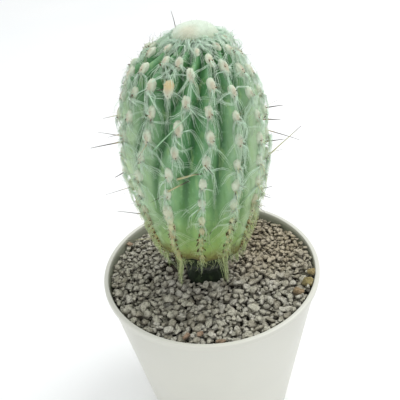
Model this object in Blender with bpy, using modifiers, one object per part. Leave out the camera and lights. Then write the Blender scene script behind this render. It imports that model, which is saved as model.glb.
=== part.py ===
"""A ribbed cactus with woolly areoles and a woolly crown, standing in grit in a tapered plastic pot.

Metres, +Z up. The origin is at the centre of the ring that the pot stands on, and the plant's
best side faces -Y.
"""

import math
import random

import bmesh
import bpy
import numpy as np
from mathutils import Matrix, Vector, geometry

MM = 0.001
CLEARANCE = 0.3 * MM

# Pot
POT_HEIGHT = 95 * MM
RIM_RADIUS = 55 * MM
RIM_HEIGHT = 2.8 * MM
RIM_OVERHANG = 0.9 * MM
WALL = 1.5 * MM
BASE_RADIUS = 37.5 * MM
FOOT_HEIGHT = 3 * MM
FLOOR_THICKNESS = 1.8 * MM
BEAD = 0.8 * MM
POT_SIDES = 64
DRAIN_HOLES = 5
DRAIN_SIDES = 16
DRAIN_RADIUS = 3.5 * MM
DRAIN_CIRCLE = 23 * MM

# Grit
GRIT_LEVEL = POT_HEIGHT - 2.7 * MM
GRIT_SLOPE = (0.012, -0.012)
STONE_SPACING = 4.9 * MM
STONE_HEIGHT = 1.9 * MM
STONE_JITTER = 0.17
SMALLEST_STONE = 0.55
GRIT_FIT = 0.4 * MM
GRIT_MARGIN = 1.3 * MM
GRIT_SEED = 12
SOCKET_SIDES = 32

# Stem, with heights measured from its foot
STEM_FOOT = POT_HEIGHT - 5 * MM
STEM_X = -2.6 * MM
STEM_Y = 1.5 * MM
CROWN_SHIFT = 4.2 * MM
CROWN_BEND_START = 118 * MM
NECK_RADIUS = 9.8 * MM
NECK_END_RADIUS = 8 * MM
NECK_DEPTH = 14 * MM
NECK_TAPER = 2 * MM
STEM_HEIGHT = 128 * MM
STEM_OUTLINE = [(r * MM, z * MM) for r, z in (
    (9.8, 4.2), (11.4, 7.6), (14.8, 11.2), (18.8, 15.8), (21.2, 23.0), (24.2, 32.0), (27.0, 42.5),
    (30.4, 59.0), (32.2, 78.0), (30.4, 97.0), (24.9, 113.0), (17.2, 123.0), (9.0, 127.6), (3.0, 127.4),
)]
OUTLINE_STEPS = 12
ROW_LENGTH = 5.8 * MM
CROWN_BASE = 100 * MM

# Ribs: those listed are new ones, which start at the first height, in mm, and are full at the second
RIBS = 17
NEW_RIBS = {2: (84, 116), 4: (58, 96), 7: (103, 119), 14: (92, 122)}
SMALLEST_RIB = 0.06
RIB_TURN = math.radians(-3)
MID_TURN = math.radians(3.5)
MID_TURN_GROWS = (38 * MM, 52 * MM)
MID_TURN_FADES = (66 * MM, 80 * MM)
CROWN_TURN = math.radians(6)
CROWN_TURNS = (98 * MM, 126 * MM)
RIB_COLUMNS = (-1.0, -0.5, 0.0, 0.5)
RIB_ROUNDNESS = 1.8
GROOVE_DEPTH = 3.6 * MM
GROOVE_START = (6 * MM, 18 * MM)
OLD_GROOVE_SHARE = 0.35
GROOVE_DEEPENS = (20 * MM, 75 * MM)
GROOVE_FADE_RADIUS = 17 * MM
GROOVE_FADE = 1.3

# Areoles and spines
NARROWEST_WITH_AREOLES = 0.5
AREOLE_SPACING = 10.3 * MM
OLD_AREOLE_SPACING = 6.6 * MM
SPACING_OPENS = (55 * MM, 62 * MM)
LOWEST_AREOLE = 27 * MM
CROWN_AREOLE_RADIUS = 16.7 * MM
AREOLE_LENGTH = 6.4 * MM
AREOLE_WIDTH = 4.4 * MM
AREOLE_RISE = 1.5 * MM
AREOLE_ROOT = 1.0 * MM
AREOLE_FOOT = 1.15
AREOLE_TOP = 0.5
AREOLE_SIDES = 6
OLD_AREOLE_SIZE = 0.62
SIZE_GROWS = (32 * MM, 65 * MM)
CROWN_AREOLE_SIZE = 0.8
SIZE_SHRINKS = (118 * MM, 127 * MM)
SPINE_RADIUS = 0.45 * MM
SPINE_TIP_RADIUS = 0.07 * MM
SPINE_LENGTHS = (9 * MM, 18 * MM)
SPINE_SIDES = 3
SPINE_ROOT = 2.2 * MM
SPINE_START = (0, -0.8 * MM, 0.6 * MM)
SPINE_SPREAD = 0.4
SPINE_EVERY = 2
SPINE_LOWEST = 26 * MM
SPINE_SEED = 5

# Wool on the crown
WOOL_RADIUS = 10.2 * MM
WOOL_FRONT_SHARE = 0.68
WOOL_TOP = 133.2 * MM
WOOL_SIDES = 24
WOOL_RINGS = 10
WOOL_TUFTS = 7
WOOL_TUFTING = 0.05
WOOL_SWIRL = 3.0
WOOL_GAP = 0.6 * MM


def clear_scene():
    for obj in list(bpy.data.objects):
        bpy.data.objects.remove(obj)


def make_material(name, colour, roughness, metallic=0.0):
    material = bpy.data.materials.new(name)
    material.use_nodes = True
    shader = material.node_tree.nodes["Principled BSDF"]
    shader.inputs["Base Color"].default_value = (*colour, 1.0)
    shader.inputs["Roughness"].default_value = roughness
    shader.inputs["Metallic"].default_value = metallic
    return material


def add_object(name, mesh, collection, material=None):
    obj = bpy.data.objects.new(name, mesh)
    collection.objects.link(obj)
    if material:
        mesh.materials.append(material)
    return obj


def mesh_from(work, name):
    mesh = bpy.data.meshes.new(name)
    work.to_mesh(mesh)
    work.free()
    return mesh


def apply_modifiers(obj):
    graph = bpy.context.evaluated_depsgraph_get()
    mesh = bpy.data.meshes.new_from_object(obj.evaluated_get(graph))
    obj.modifiers.clear()
    obj.data = mesh


def smooth_step(value, low, high):
    t = min(max((value - low) / (high - low), 0.0), 1.0)
    return t * t * (3 - 2 * t)


# Pot

def inner_wall_radius(height):
    """Radius of the pot's inside at this height."""
    bottom, top = BASE_RADIUS - WALL, RIM_RADIUS - RIM_OVERHANG - WALL
    return bottom + (top - bottom) * height / POT_HEIGHT


def pot_profile():
    """Radius and height, from the middle of the floor, up the inside and down the outside."""
    floor_top = FOOT_HEIGHT + FLOOR_THICKNESS
    rim_low = POT_HEIGHT - RIM_HEIGHT
    mouth = inner_wall_radius(POT_HEIGHT)
    return [
        (0, floor_top),
        (inner_wall_radius(floor_top) - WALL, floor_top),
        (inner_wall_radius(floor_top + WALL), floor_top + WALL),
        (inner_wall_radius(rim_low), rim_low),
        (mouth + 0.2 * WALL, POT_HEIGHT - BEAD),
        (mouth + 0.7 * WALL, POT_HEIGHT),
        (RIM_RADIUS - BEAD, POT_HEIGHT),
        (RIM_RADIUS, POT_HEIGHT - BEAD),
        (RIM_RADIUS, rim_low + BEAD),
        (RIM_RADIUS - BEAD, rim_low),
        (inner_wall_radius(rim_low) + WALL, rim_low),
        (BASE_RADIUS + 0.2 * WALL, 0.7 * WALL),
        (BASE_RADIUS - 0.4 * WALL, 0),
        (BASE_RADIUS - 1.6 * WALL, 0),
        (BASE_RADIUS - 1.8 * WALL, FOOT_HEIGHT),
        (0, FOOT_HEIGHT),
    ]


def build_pot(collection, cutters):
    profile = pot_profile()
    mesh = bpy.data.meshes.new("pot")
    edges = [(i, i + 1) for i in range(len(profile) - 1)]
    mesh.from_pydata([(r, 0, z) for r, z in profile], edges, [])
    white = make_material("pot_plastic", (0.86, 0.88, 0.86), 0.32)
    pot = add_object("pot", mesh, collection, white)
    screw = pot.modifiers.new("turned wall", "SCREW")
    screw.steps = screw.render_steps = POT_SIDES
    screw.use_merge_vertices = True
    screw.merge_threshold = 0.00001
    for index in range(DRAIN_HOLES):
        cut_drain_hole(pot, cutters, index)
    return pot


def cut_drain_hole(pot, cutters, index):
    turn = 2 * math.pi * (index + 0.5) / DRAIN_HOLES
    work = bmesh.new()
    bmesh.ops.create_cone(
        work, cap_ends=True, segments=DRAIN_SIDES, radius1=DRAIN_RADIUS, radius2=DRAIN_RADIUS,
        depth=4 * (FOOT_HEIGHT + FLOOR_THICKNESS),
    )
    cutter = add_object(f"drain_hole_{index}", mesh_from(work, "drain_hole"), cutters)
    cutter.location = (DRAIN_CIRCLE * math.cos(turn), DRAIN_CIRCLE * math.sin(turn), 0)
    cutter.hide_render = True
    cutter.display_type = "WIRE"
    hole = pot.modifiers.new(f"drain hole {index}", "BOOLEAN")
    hole.operation = "DIFFERENCE"
    hole.object = cutter


# Stem

def smooth_outline(points, steps):
    """Points along a Catmull-Rom curve through these."""
    ends = [points[0], *points, points[-1]]
    curve = []
    for a, b, c, d in zip(ends, ends[1:], ends[2:], ends[3:]):
        for k in range(steps):
            t = k / steps
            curve.append(tuple(
                0.5 * (2 * q + (r - p) * t + (2 * p - 5 * q + 4 * r - s) * t * t
                       + (3 * q - p - 3 * r + s) * t ** 3)
                for p, q, r, s in zip(a, b, c, d)
            ))
    return np.array([*curve, points[-1]])


class Outline:
    """The stem's ridge line from neck to crown, read by distance along it."""

    def __init__(self):
        self.points = smooth_outline(STEM_OUTLINE, OUTLINE_STEPS)
        steps = np.hypot(*np.diff(self.points, axis=0).T)
        self.distance = np.concatenate([[0], np.cumsum(steps)])
        self.length = self.distance[-1]

    def at(self, distance):
        """Radius and height there."""
        return tuple(np.interp(distance, self.distance, self.points[:, k]) for k in (0, 1))

    def normal(self, distance):
        """Outward direction there, as its radial and upward shares."""
        step = 0.5 * MM
        (r0, z0), (r1, z1) = self.at(distance - step), self.at(distance + step)
        size = math.hypot(r1 - r0, z1 - z0)
        return (z1 - z0) / size, (r0 - r1) / size

    def where_radius(self, radius):
        """Distance to the place on the crown with this radius."""
        crown = self.points[:, 1] > CROWN_BASE
        return np.interp(-radius, -self.points[crown, 0], self.distance[crown])


def rib_width(rib, height):
    """How far a rib has grown at this height: 1 for a full one."""
    if rib not in NEW_RIBS:
        return 1.0
    start, full = NEW_RIBS[rib]
    return max(SMALLEST_RIB, smooth_step(height, start * MM, full * MM))


def rib_spans(height):
    """Angle of each rib's middle, and half its width, counted from the back of the plant."""
    widths = np.array([rib_width(rib, height) for rib in range(RIBS)])
    ends = np.cumsum(widths) / widths.sum() * 2 * math.pi
    halves = widths / widths.sum() * math.pi
    sway = MID_TURN * (smooth_step(height, *MID_TURN_GROWS) - smooth_step(height, *MID_TURN_FADES))
    turn = math.pi / 2 + RIB_TURN + sway + CROWN_TURN * smooth_step(height, *CROWN_TURNS)
    return ends - halves + turn, halves


def groove_depth(radius, height):
    """Shallow on the old growth and at the crown's middle."""
    grown = OLD_GROOVE_SHARE + (1 - OLD_GROOVE_SHARE) * smooth_step(height, *GROOVE_DEEPENS)
    fade = min(1.0, radius / GROOVE_FADE_RADIUS) ** GROOVE_FADE
    return GROOVE_DEPTH * grown * fade * smooth_step(height, *GROOVE_START)


def axis_x(height):
    return STEM_X + CROWN_SHIFT * smooth_step(height, CROWN_BEND_START, STEM_HEIGHT)


def stem_point(outline, distance, angle, sink=0.0):
    """A point this far in from the ridge line's surface of turning."""
    radius, height = outline.at(distance)
    out, up = outline.normal(distance)
    across = radius - sink * out
    return Vector((
        axis_x(height) + across * math.cos(angle),
        STEM_Y + across * math.sin(angle),
        STEM_FOOT + height - sink * up,
    ))


def stem_ring(outline, distance):
    radius, height = outline.at(distance)
    middles, halves = rib_spans(height)
    depth = groove_depth(radius, height)
    ring = []
    for rib, (middle, half) in enumerate(zip(middles, halves)):
        rise = rib_width(rib, height)
        for across in RIB_COLUMNS:
            sink = depth * (1 - rise * (1 - abs(across) ** RIB_ROUNDNESS))
            ring.append(stem_point(outline, distance, middle + across * half, sink))
    return ring


def neck_ring(radius, depth):
    middles, halves = rib_spans(0)
    angles = [m + a * h for m, h in zip(middles, halves) for a in RIB_COLUMNS]
    return [Vector((
        STEM_X + radius * math.cos(angle), STEM_Y + radius * math.sin(angle), STEM_FOOT - depth,
    )) for angle in angles]


def stem_rings(outline):
    rings = [neck_ring(NECK_END_RADIUS, NECK_DEPTH), neck_ring(NECK_RADIUS, NECK_DEPTH - NECK_TAPER)]
    count = round(outline.length / ROW_LENGTH)
    rings += [stem_ring(outline, outline.length * k / count) for k in range(count + 1)]
    return rings


def stem_mesh(outline):
    """Rings from the bottom of the neck to the crown, joined into one closed skin."""
    work = bmesh.new()
    rings = [[work.verts.new(p) for p in ring] for ring in stem_rings(outline)]
    for lower, upper in zip(rings, rings[1:]):
        for k in range(len(lower)):
            n = (k + 1) % len(lower)
            work.faces.new((lower[k], lower[n], upper[n], upper[k]))
    work.faces.new(reversed(rings[0]))
    last = rings[-1]
    height = outline.at(outline.length)[1]
    top = work.verts.new((axis_x(height), STEM_Y, STEM_FOOT + height))
    for k in range(len(last)):
        work.faces.new((last[k], last[(k + 1) % len(last)], top))
    return mesh_from(work, "stem")


# Areoles and spines

def areole_places(outline):
    """Rib, distance along the outline, and height of each areole, from the crown down.

    Neighbouring full-length ribs start half a space apart.
    """
    first = outline.where_radius(CROWN_AREOLE_RADIUS)
    places = []
    for rib in range(RIBS):
        order = rib - sum(new <= rib for new in NEW_RIBS)
        distance = first - 0.5 * AREOLE_SPACING * (order % 2)
        height = outline.at(distance)[1]
        while height > LOWEST_AREOLE and rib_width(rib, height) > NARROWEST_WITH_AREOLES:
            places.append((rib, distance, height))
            young = smooth_step(height, *SPACING_OPENS)
            distance -= OLD_AREOLE_SPACING + (AREOLE_SPACING - OLD_AREOLE_SPACING) * young
            height = outline.at(distance)[1]
    return places


def areole_frame(outline, rib, distance):
    """Axes at a ridge: across it, up along it and outward, with the origin on the ridge."""
    radius, height = outline.at(distance)
    angle = rib_spans(height)[0][rib]
    sink = groove_depth(radius, height) * (1 - rib_width(rib, height))
    out, up = outline.normal(distance)
    outward = Vector((out * math.cos(angle), out * math.sin(angle), up))
    across = Vector((-math.sin(angle), math.cos(angle), 0))
    along = outward.cross(across)
    place = Matrix((across, along, outward)).transposed().to_4x4()
    place.translation = stem_point(outline, distance, angle, sink)
    return place


def areole_size(height):
    """Full size on the young growth, smaller and worn on the old and at the crown."""
    grown = OLD_AREOLE_SIZE + (1 - OLD_AREOLE_SIZE) * smooth_step(height, *SIZE_GROWS)
    return grown * (1 - (1 - CROWN_AREOLE_SIZE) * smooth_step(height, *SIZE_SHRINKS))


def add_cushion(work, place, size):
    """A low cushion with sloping sides, its root under the skin."""
    shape = Matrix.Diagonal((AREOLE_WIDTH * size / 2, AREOLE_LENGTH * size / 2, 1, 1))
    lift = Matrix.Translation((0, 0, (AREOLE_RISE - AREOLE_ROOT) / 2))
    bmesh.ops.create_cone(
        work, cap_ends=True, segments=AREOLE_SIDES, radius1=AREOLE_FOOT, radius2=AREOLE_TOP,
        depth=AREOLE_RISE + AREOLE_ROOT, matrix=place @ shape @ lift,
    )


def add_spine(work, place, draw):
    """A three-sided needle from the lower end of the areole, out and a little to one side."""
    lean = Vector((draw.uniform(-1, 1), draw.uniform(-1, 1), 0)) * SPINE_SPREAD
    direction = (place.to_3x3() @ (Vector((0, 0, 1)) + lean)).normalized()
    length = draw.uniform(*SPINE_LENGTHS)
    middle = place @ Vector(SPINE_START) + direction * (length - SPINE_ROOT) / 2
    turned = direction.to_track_quat("Z", "Y").to_matrix().to_4x4()
    bmesh.ops.create_cone(
        work, cap_ends=True, segments=SPINE_SIDES, radius1=SPINE_RADIUS,
        radius2=SPINE_TIP_RADIUS, depth=length + SPINE_ROOT,
        matrix=Matrix.Translation(middle) @ turned,
    )


def build_stem(collection, growths):
    outline = Outline()
    green = make_material("stem_green", (0.16, 0.34, 0.17), 0.5)
    stem = add_object("cactus_stem", stem_mesh(outline), collection, green)
    draw = random.Random(SPINE_SEED)
    cushions, spines = bmesh.new(), bmesh.new()
    for index, (rib, distance, height) in enumerate(areole_places(outline)):
        place = areole_frame(outline, rib, distance)
        add_cushion(cushions, place, areole_size(height))
        if height > SPINE_LOWEST and index % SPINE_EVERY == 0:
            add_spine(spines, place, draw)
    add_object("areole_cushions", mesh_from(cushions, "areole_cushions"), growths)
    add_object("long_spines", mesh_from(spines, "long_spines"), growths)
    union = stem.modifiers.new("areoles and spines", "BOOLEAN")
    union.operation = "UNION"
    union.operand_type = "COLLECTION"
    union.collection = growths
    union.solver = "MANIFOLD"
    apply_modifiers(stem)
    for growth in list(growths.objects):
        bpy.data.objects.remove(growth)
    bpy.data.collections.remove(growths)
    return stem


# Wool on the crown

def build_wool(collection):
    """A tufted dome whose underside follows the crown, and which reaches less far to the front."""
    outline = Outline()
    work = bmesh.new()
    bmesh.ops.create_uvsphere(work, u_segments=WOOL_SIDES, v_segments=WOOL_RINGS, radius=1)
    for vert in work.verts:
        turn = math.atan2(vert.co.y, vert.co.x)
        across = math.hypot(vert.co.x, vert.co.y)
        tuft = 1 + WOOL_TUFTING * across * math.sin(WOOL_TUFTS * turn + WOOL_SWIRL * across)
        reach = 1 - (1 - WOOL_FRONT_SHARE) * max(-math.sin(turn), 0)
        radius = WOOL_RADIUS * reach * across * tuft
        seat = outline.at(outline.where_radius(radius))[1] + WOOL_GAP
        height = seat + (WOOL_TOP - STEM_HEIGHT) * max(vert.co.z, 0) * tuft
        vert.co = (
            axis_x(STEM_HEIGHT) + radius * math.cos(turn),
            STEM_Y + radius * math.sin(turn),
            STEM_FOOT + height,
        )
    white = make_material("crown_wool", (0.80, 0.80, 0.74), 0.95)
    return add_object("crown_wool", mesh_from(work, "crown_wool"), collection, white)


# Grit

def grit_height(x, y):
    """The level of the grit, which is highest at the front right."""
    return GRIT_LEVEL + GRIT_SLOPE[0] * x + GRIT_SLOPE[1] * y


def circle(radius, sides, x=0.0, y=0.0):
    turns = [2 * math.pi * k / sides for k in range(sides)]
    return [Vector((x + radius * math.cos(turn), y + radius * math.sin(turn))) for turn in turns]


def stone_lattice(radius, socket):
    """Places in a triangular lattice and their rise: every third is a stone, the rest lie between."""
    draw = random.Random(GRIT_SEED)
    step = STONE_SPACING / math.sqrt(3)
    reach = int(2 * RIM_RADIUS / step)
    lattice = []
    for row in range(-reach, reach + 1):
        for column in range(-reach, reach + 1):
            place = Vector((step * (column + 0.5 * row), step * math.sqrt(3) / 2 * row))
            place += Vector((draw.uniform(-1, 1), draw.uniform(-1, 1))) * STONE_JITTER * step
            size = draw.uniform(SMALLEST_STONE, 1.0)
            from_stem = (place - Vector((STEM_X, STEM_Y))).length
            if place.length < radius - GRIT_MARGIN and from_stem > socket + GRIT_MARGIN:
                is_stone = (column - row) % 3 == 0
                lattice.append((place, STONE_HEIGHT * size if is_stone else 0.0))
    return lattice


def closed_path(first, count):
    return [(first + k, first + (k + 1) % count) for k in range(count)]


def grit_top(work, radius, socket):
    """The stony surface, with its rim and the mouth of its socket."""
    lattice = stone_lattice(radius, socket)
    edge = circle(radius, POT_SIDES)
    mouth = circle(socket, SOCKET_SIDES, STEM_X, STEM_Y)
    flat = edge + mouth + [place for place, _ in lattice]
    rises = [0.0] * (len(edge) + len(mouth)) + [rise for _, rise in lattice]
    paths = closed_path(0, POT_SIDES) + closed_path(POT_SIDES, SOCKET_SIDES)
    places, _, faces, sources, _, _ = geometry.delaunay_2d_cdt(flat, paths, [], 0, 0.01 * MM)
    verts = {}
    for place, source in zip(places, sources):
        height = grit_height(place.x, place.y) + rises[source[0]]
        verts[source[0]] = work.verts.new((place.x, place.y, height))
    order = list(verts.values())
    stem_foot = Vector((STEM_X, STEM_Y))
    for face in faces:
        middle = sum((places[k] for k in face), Vector((0, 0))) / len(face)
        if (middle - stem_foot).length > socket * math.cos(math.pi / SOCKET_SIDES):
            work.faces.new([order[k] for k in face])
    rim = [verts[k] for k in range(POT_SIDES)]
    return rim, [verts[POT_SIDES + k] for k in range(SOCKET_SIDES)]


def add_ring(work, radius, height, sides, x=0.0, y=0.0):
    return [work.verts.new((*place, height)) for place in circle(radius, sides, x, y)]


def join_rings(work, upper, lower):
    for k in range(len(upper)):
        n = (k + 1) % len(upper)
        work.faces.new((upper[k], upper[n], lower[n], lower[k]))


def build_grit(collection):
    """A bed that fills the pot, with a socket for the neck and stones raised from its top."""
    floor_top = FOOT_HEIGHT + FLOOR_THICKNESS + CLEARANCE
    lower_radius = inner_wall_radius(floor_top + WALL) - GRIT_FIT
    socket = NECK_RADIUS + GRIT_FIT
    work = bmesh.new()
    lowest = GRIT_LEVEL - RIM_RADIUS * math.hypot(*GRIT_SLOPE)
    rim, mouth = grit_top(work, inner_wall_radius(lowest) - GRIT_FIT, socket)
    shoulder = add_ring(work, lower_radius, floor_top + WALL, POT_SIDES)
    bottom = add_ring(work, lower_radius - WALL, floor_top, POT_SIDES)
    pit_height = STEM_FOOT - NECK_DEPTH - CLEARANCE
    pit = add_ring(work, socket, pit_height, SOCKET_SIDES, STEM_X, STEM_Y)
    join_rings(work, rim, shoulder)
    join_rings(work, shoulder, bottom)
    join_rings(work, mouth, pit)
    work.faces.new(bottom)
    work.faces.new(pit)
    bmesh.ops.recalc_face_normals(work, faces=work.faces)
    taupe = make_material("grit_stone", (0.33, 0.29, 0.24), 0.9)
    return add_object("grit", mesh_from(work, "grit"), collection, taupe)


def build():
    clear_scene()
    plant = bpy.data.collections.new("potted_cactus")
    cutters = bpy.data.collections.new("cutters")
    growths = bpy.data.collections.new("growths")
    for collection in (plant, cutters, growths):
        bpy.context.scene.collection.children.link(collection)
    pot = build_pot(plant, cutters)
    grit = build_grit(plant)
    stem = build_stem(plant, growths)
    wool = build_wool(plant)
    pot.data.shade_smooth()
    for obj in (pot, grit, stem, wool):
        obj.data.set_sharp_from_angle(angle=math.radians(40))


build()
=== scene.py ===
"""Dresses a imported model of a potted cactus: its skin, wool, spines, hairs, grit, pot and studio."""

import math
import random

import bmesh
import bpy
import numpy as np
from bpy.props import FloatProperty, FloatVectorProperty, IntProperty, PointerProperty
from mathutils import Matrix, Vector


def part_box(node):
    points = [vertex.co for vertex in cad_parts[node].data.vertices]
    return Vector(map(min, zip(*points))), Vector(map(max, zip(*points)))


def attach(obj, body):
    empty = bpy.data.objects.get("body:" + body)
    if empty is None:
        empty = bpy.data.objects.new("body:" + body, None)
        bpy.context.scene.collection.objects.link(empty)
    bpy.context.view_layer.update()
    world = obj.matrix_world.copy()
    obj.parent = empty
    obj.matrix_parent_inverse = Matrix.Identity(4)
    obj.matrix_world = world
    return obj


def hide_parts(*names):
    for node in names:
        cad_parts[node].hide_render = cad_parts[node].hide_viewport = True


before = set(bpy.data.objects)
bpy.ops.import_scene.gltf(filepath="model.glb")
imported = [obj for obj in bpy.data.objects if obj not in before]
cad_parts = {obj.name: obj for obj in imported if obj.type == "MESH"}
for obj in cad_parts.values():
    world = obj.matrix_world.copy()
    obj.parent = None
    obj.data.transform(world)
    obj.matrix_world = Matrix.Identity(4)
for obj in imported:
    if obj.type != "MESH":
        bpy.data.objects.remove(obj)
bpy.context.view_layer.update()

bl_info = {
    "name": "Potted Ribbed Cactus",
    "version": (1, 0, 0),
    "blender": (4, 5, 0),
    "location": "3D View > Sidebar > Cactus",
    "description": "Builds a woolly ribbed cactus standing in grit in a white pot",
    "category": "Add Mesh",
}

MM = 0.001
BODY = "root"

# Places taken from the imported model
RIM_RADIUS, _, POT_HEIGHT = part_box("pot")[1]
NECK_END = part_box("cactus_stem")[0].z
WOOL_LOW, WOOL_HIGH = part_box("crown_wool")

# Pot, as the solid has it
RIM_HEIGHT = 2.8 * MM
RIM_OVERHANG = 0.9 * MM
WALL = 1.5 * MM
BASE_RADIUS = 37.5 * MM
FOOT_HEIGHT = 3 * MM
FLOOR_THICKNESS = 1.8 * MM
BEAD = 0.8 * MM
DRAIN_HOLES = 5
DRAIN_RADIUS = 3.5 * MM
DRAIN_CIRCLE = 23 * MM

# Grit
GRIT_LEVEL = POT_HEIGHT - 2.7 * MM
GRIT_SLOPE = (0.012, -0.012)
GRIT_FIT = 0.4 * MM
# A hollow left of the stem, clear of loose stones, where the fill's dark colour shows as a painted shadow.
PIT = (-18.8 * MM, 7.5 * MM)
PIT_RADIUS = 3.6 * MM
PIT_DIP = 4 * MM
NECK_DIP = 0.9 * MM
DIP_REACH = 2.6 * MM
WALL_GAP = 0.15 * MM
LOWEST_PLACE = -0.9 * MM
BANKED_FROM = (43 * MM, 51 * MM)
BANK_RISE = 1.1 * MM
FINER_SHARE = 0.36
FINER_BEHIND = (-20 * MM, 14 * MM)
FINE_STONE = 1.2 * MM
SANDY_PLACE = (32 * MM, 20 * MM, GRIT_LEVEL)
SANDY_REACH = (8 * MM, 44 * MM)
STONE_LUMPS = ((2.2, 0.14), (4.5, 0.12), (8.0, 0.08))
STONE_FLATS = 9
STONE_LEAN = 0.6
BED_RINGS = 26
BED_SIDES = 96

# Stones of other colours: place on the surface in mm, how warm the colour is, and size in mm
ODD_STONES = (
    ((45.0, -15.8), 0.97, 2.9), ((46.0, -12.5), 0.94, 2.3), ((38.0, -20.0), 0.92, 2.3),
    ((-17.0, -47.0), 0.8, 1.9), ((-13.0, -48.5), 0.8, 1.7), ((-40.0, 22.0), 0.7, 1.8),
    ((-6.0, -49.5), 0.8, 1.6), ((2.0, -50.0), 0.72, 1.5),
)

# Stem, with heights measured from its foot
NECK_DEPTH = 14 * MM
STEM_FOOT = NECK_END + NECK_DEPTH
STEM_X = -2.6 * MM
STEM_Y = 1.5 * MM
CROWN_SHIFT = 4.2 * MM
CROWN_BEND_START = 118 * MM
NECK_RADIUS = 9.8 * MM
NECK_END_RADIUS = 8 * MM
STEM_HEIGHT = 128 * MM
STEM_OUTLINE = [(r * MM, z * MM) for r, z in (
    (9.8, 4.2), (11.4, 7.6), (14.8, 11.2), (18.8, 15.8), (21.2, 23.0), (24.2, 32.0), (27.0, 42.5),
    (30.4, 59.0), (32.2, 78.0), (30.4, 97.0), (24.9, 113.0), (17.2, 123.0), (9.0, 127.6), (3.0, 127.4),
)]
CROWN_BASE = 100 * MM
RIBS = 17
NEW_RIBS = {2: (84, 116), 4: (58, 96), 7: (103, 119), 14: (92, 122)}
SMALLEST_RIB = 0.004
RIB_TURN = math.radians(-3)
MID_TURN = math.radians(3.5)
MID_TURN_GROWS = (38 * MM, 52 * MM)
MID_TURN_FADES = (66 * MM, 80 * MM)
CROWN_TURN = math.radians(6)
CROWN_TURNS = (98 * MM, 126 * MM)
GROOVE_STARTS = (6 * MM, 18 * MM)
GROOVE_GROWS = (20 * MM, 75 * MM)
GROOVE_FADES_INSIDE = 17 * MM
RIBS_FLATTEN = (78 * MM, 32 * MM)
SWELL_WIDTH = 0.42
SKIN_ROWS = 240
SKIN_COLUMNS = 16
NECK_ROWS = 8

# What the skin's maps (ridge, hem and side, the last for painted pale light) hold on the neck and at the
# very top
NECK_VALUES = (0, -20, 0)
TOP_VALUES = (0.5, 50, 0)

# The living skin's lower edge, and the dry rib ends that hang from it. The tuck is the share of a rib
# end that lies on the skin, and the widths are half widths in mm at the shares of its length.
HEM = 21.3 * MM
HEM_LIFT = 4.8 * MM
HEM_SPREAD = 0.34
HEM_STEP = 2.2 * MM
HIGHEST_TURN = math.radians(-115)
LONG_RIB_ENDS = {8: 11.7 * MM, 9: 1.5 * MM, 10: 10.0 * MM}
RIB_END_LENGTHS = (2 * MM, 8 * MM)
RIB_END_STEPS = 10
RIB_END_TUCK = 0.25
RIB_END_SHARES = (0, 0.2, 0.45, 0.7, 1)
RIB_END_WIDTHS = (0.2, 0.7, 0.45, 0.25, 0.1)
RIB_END_DRIFTS = {8: -0.5 * MM, 10: 2.0 * MM}
HEM_FIBRES = 180

# Areoles
NARROWEST_WITH_AREOLES = 0.5
AREOLE_SPACING = 10.3 * MM
OLD_AREOLE_SPACING = 6.6 * MM
SPACING_OPENS = (55 * MM, 62 * MM)
LOWEST_AREOLE = 27 * MM
CROWN_AREOLE_RADIUS = 16.7 * MM
RIDGE_SOFTNESS = 0.08
SHELL_STEP = 8
SPINE_ROOT = 1 * MM
FARTHEST_HAIR = RIM_RADIUS + 1 * MM
FRONT_RIB = 9
MERGED_RIB = 8
BARE_RIBS = (8, 9, 10)
SHAGGY_RIBS = (3, 5, 6, 10, 11, 12, 13)
TINTED_RIB = 7
MERGED_HEIGHTS = (30 * MM, 62 * MM)
OLD_TUFT_HEIGHTS = (26 * MM, 60 * MM)
FUZZ_HAIRS = 38
FINE_SPINES = 5

# Heights on the stem at which the areoles' hairs and spines change in number
FEW_BEARDS_BELOW = 56 * MM
FEW_WISPS_BELOW = 50 * MM
MORE_WISPS_ABOVE = 70 * MM
DRY_HAIRS_BELOW = 44 * MM
CREAM_HAIR_HEIGHTS = (34 * MM, 84 * MM)
LONG_SPINES_BELOW = 98 * MM
BARE_BELOW = 62 * MM
MANY_STUMPS_BELOW = 52 * MM

# Stumps on an old and on a young areole: how many, how far to each side and between which ends of the
# areole they stand, and their rise and radius in mm
OLD_STUMPS = (6, 1.7, (-1, 0.8), 0.2, 0.35)
YOUNG_STUMPS = (2, 0.7, (-0.9, 0), 1.0, 0.22)

# Wool on the crown
WOOL_FRONT_SHARE = 0.68
CROWN_HAIRS = 2600
FRINGE_HAIRS = 320

# How each kind of hair and spine grows: its steps, how much it droops and curls at each of them, and
# the least and greatest distance that it keeps from the skin
BEARD = {"steps": 5, "droop": 1.0, "curl": 0.16, "gaps": (0.3 * MM, 1.5 * MM)}
WISP = {"steps": 7, "droop": 0.28, "curl": 0.28, "gaps": (0.4 * MM, 2.4 * MM)}
DRY_HAIR = {"steps": 7, "droop": 0.4, "curl": 0.22, "gaps": (0.2 * MM, 2.5 * MM)}
CREAM_HAIR = {"steps": 8, "droop": 0.3, "curl": 0.14, "gaps": (0.4 * MM, 2.8 * MM)}
FRINGE = {"steps": 6, "droop": 0.36, "curl": 0.24, "gaps": (0.4 * MM, 2.6 * MM)}
CROWN_HAIR = {"steps": 3, "droop": 0.15, "curl": 0.35}
FUZZ = {"steps": 2, "droop": 0.15, "curl": 0.2}
STUB = {"steps": 2, "droop": 0.0, "curl": 0.1}
FINE_SPINE = {"steps": 4, "droop": 0.015, "curl": 0.03}
LONG_SPINE = {"steps": 7, "droop": 0.0, "curl": 0.015, "gaps": (0.6 * MM, 40 * MM)}
SINGLE_SPINE = {"steps": 9, "droop": 0.0, "curl": 0.012, "gaps": (0.6 * MM, 40 * MM)}

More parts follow.
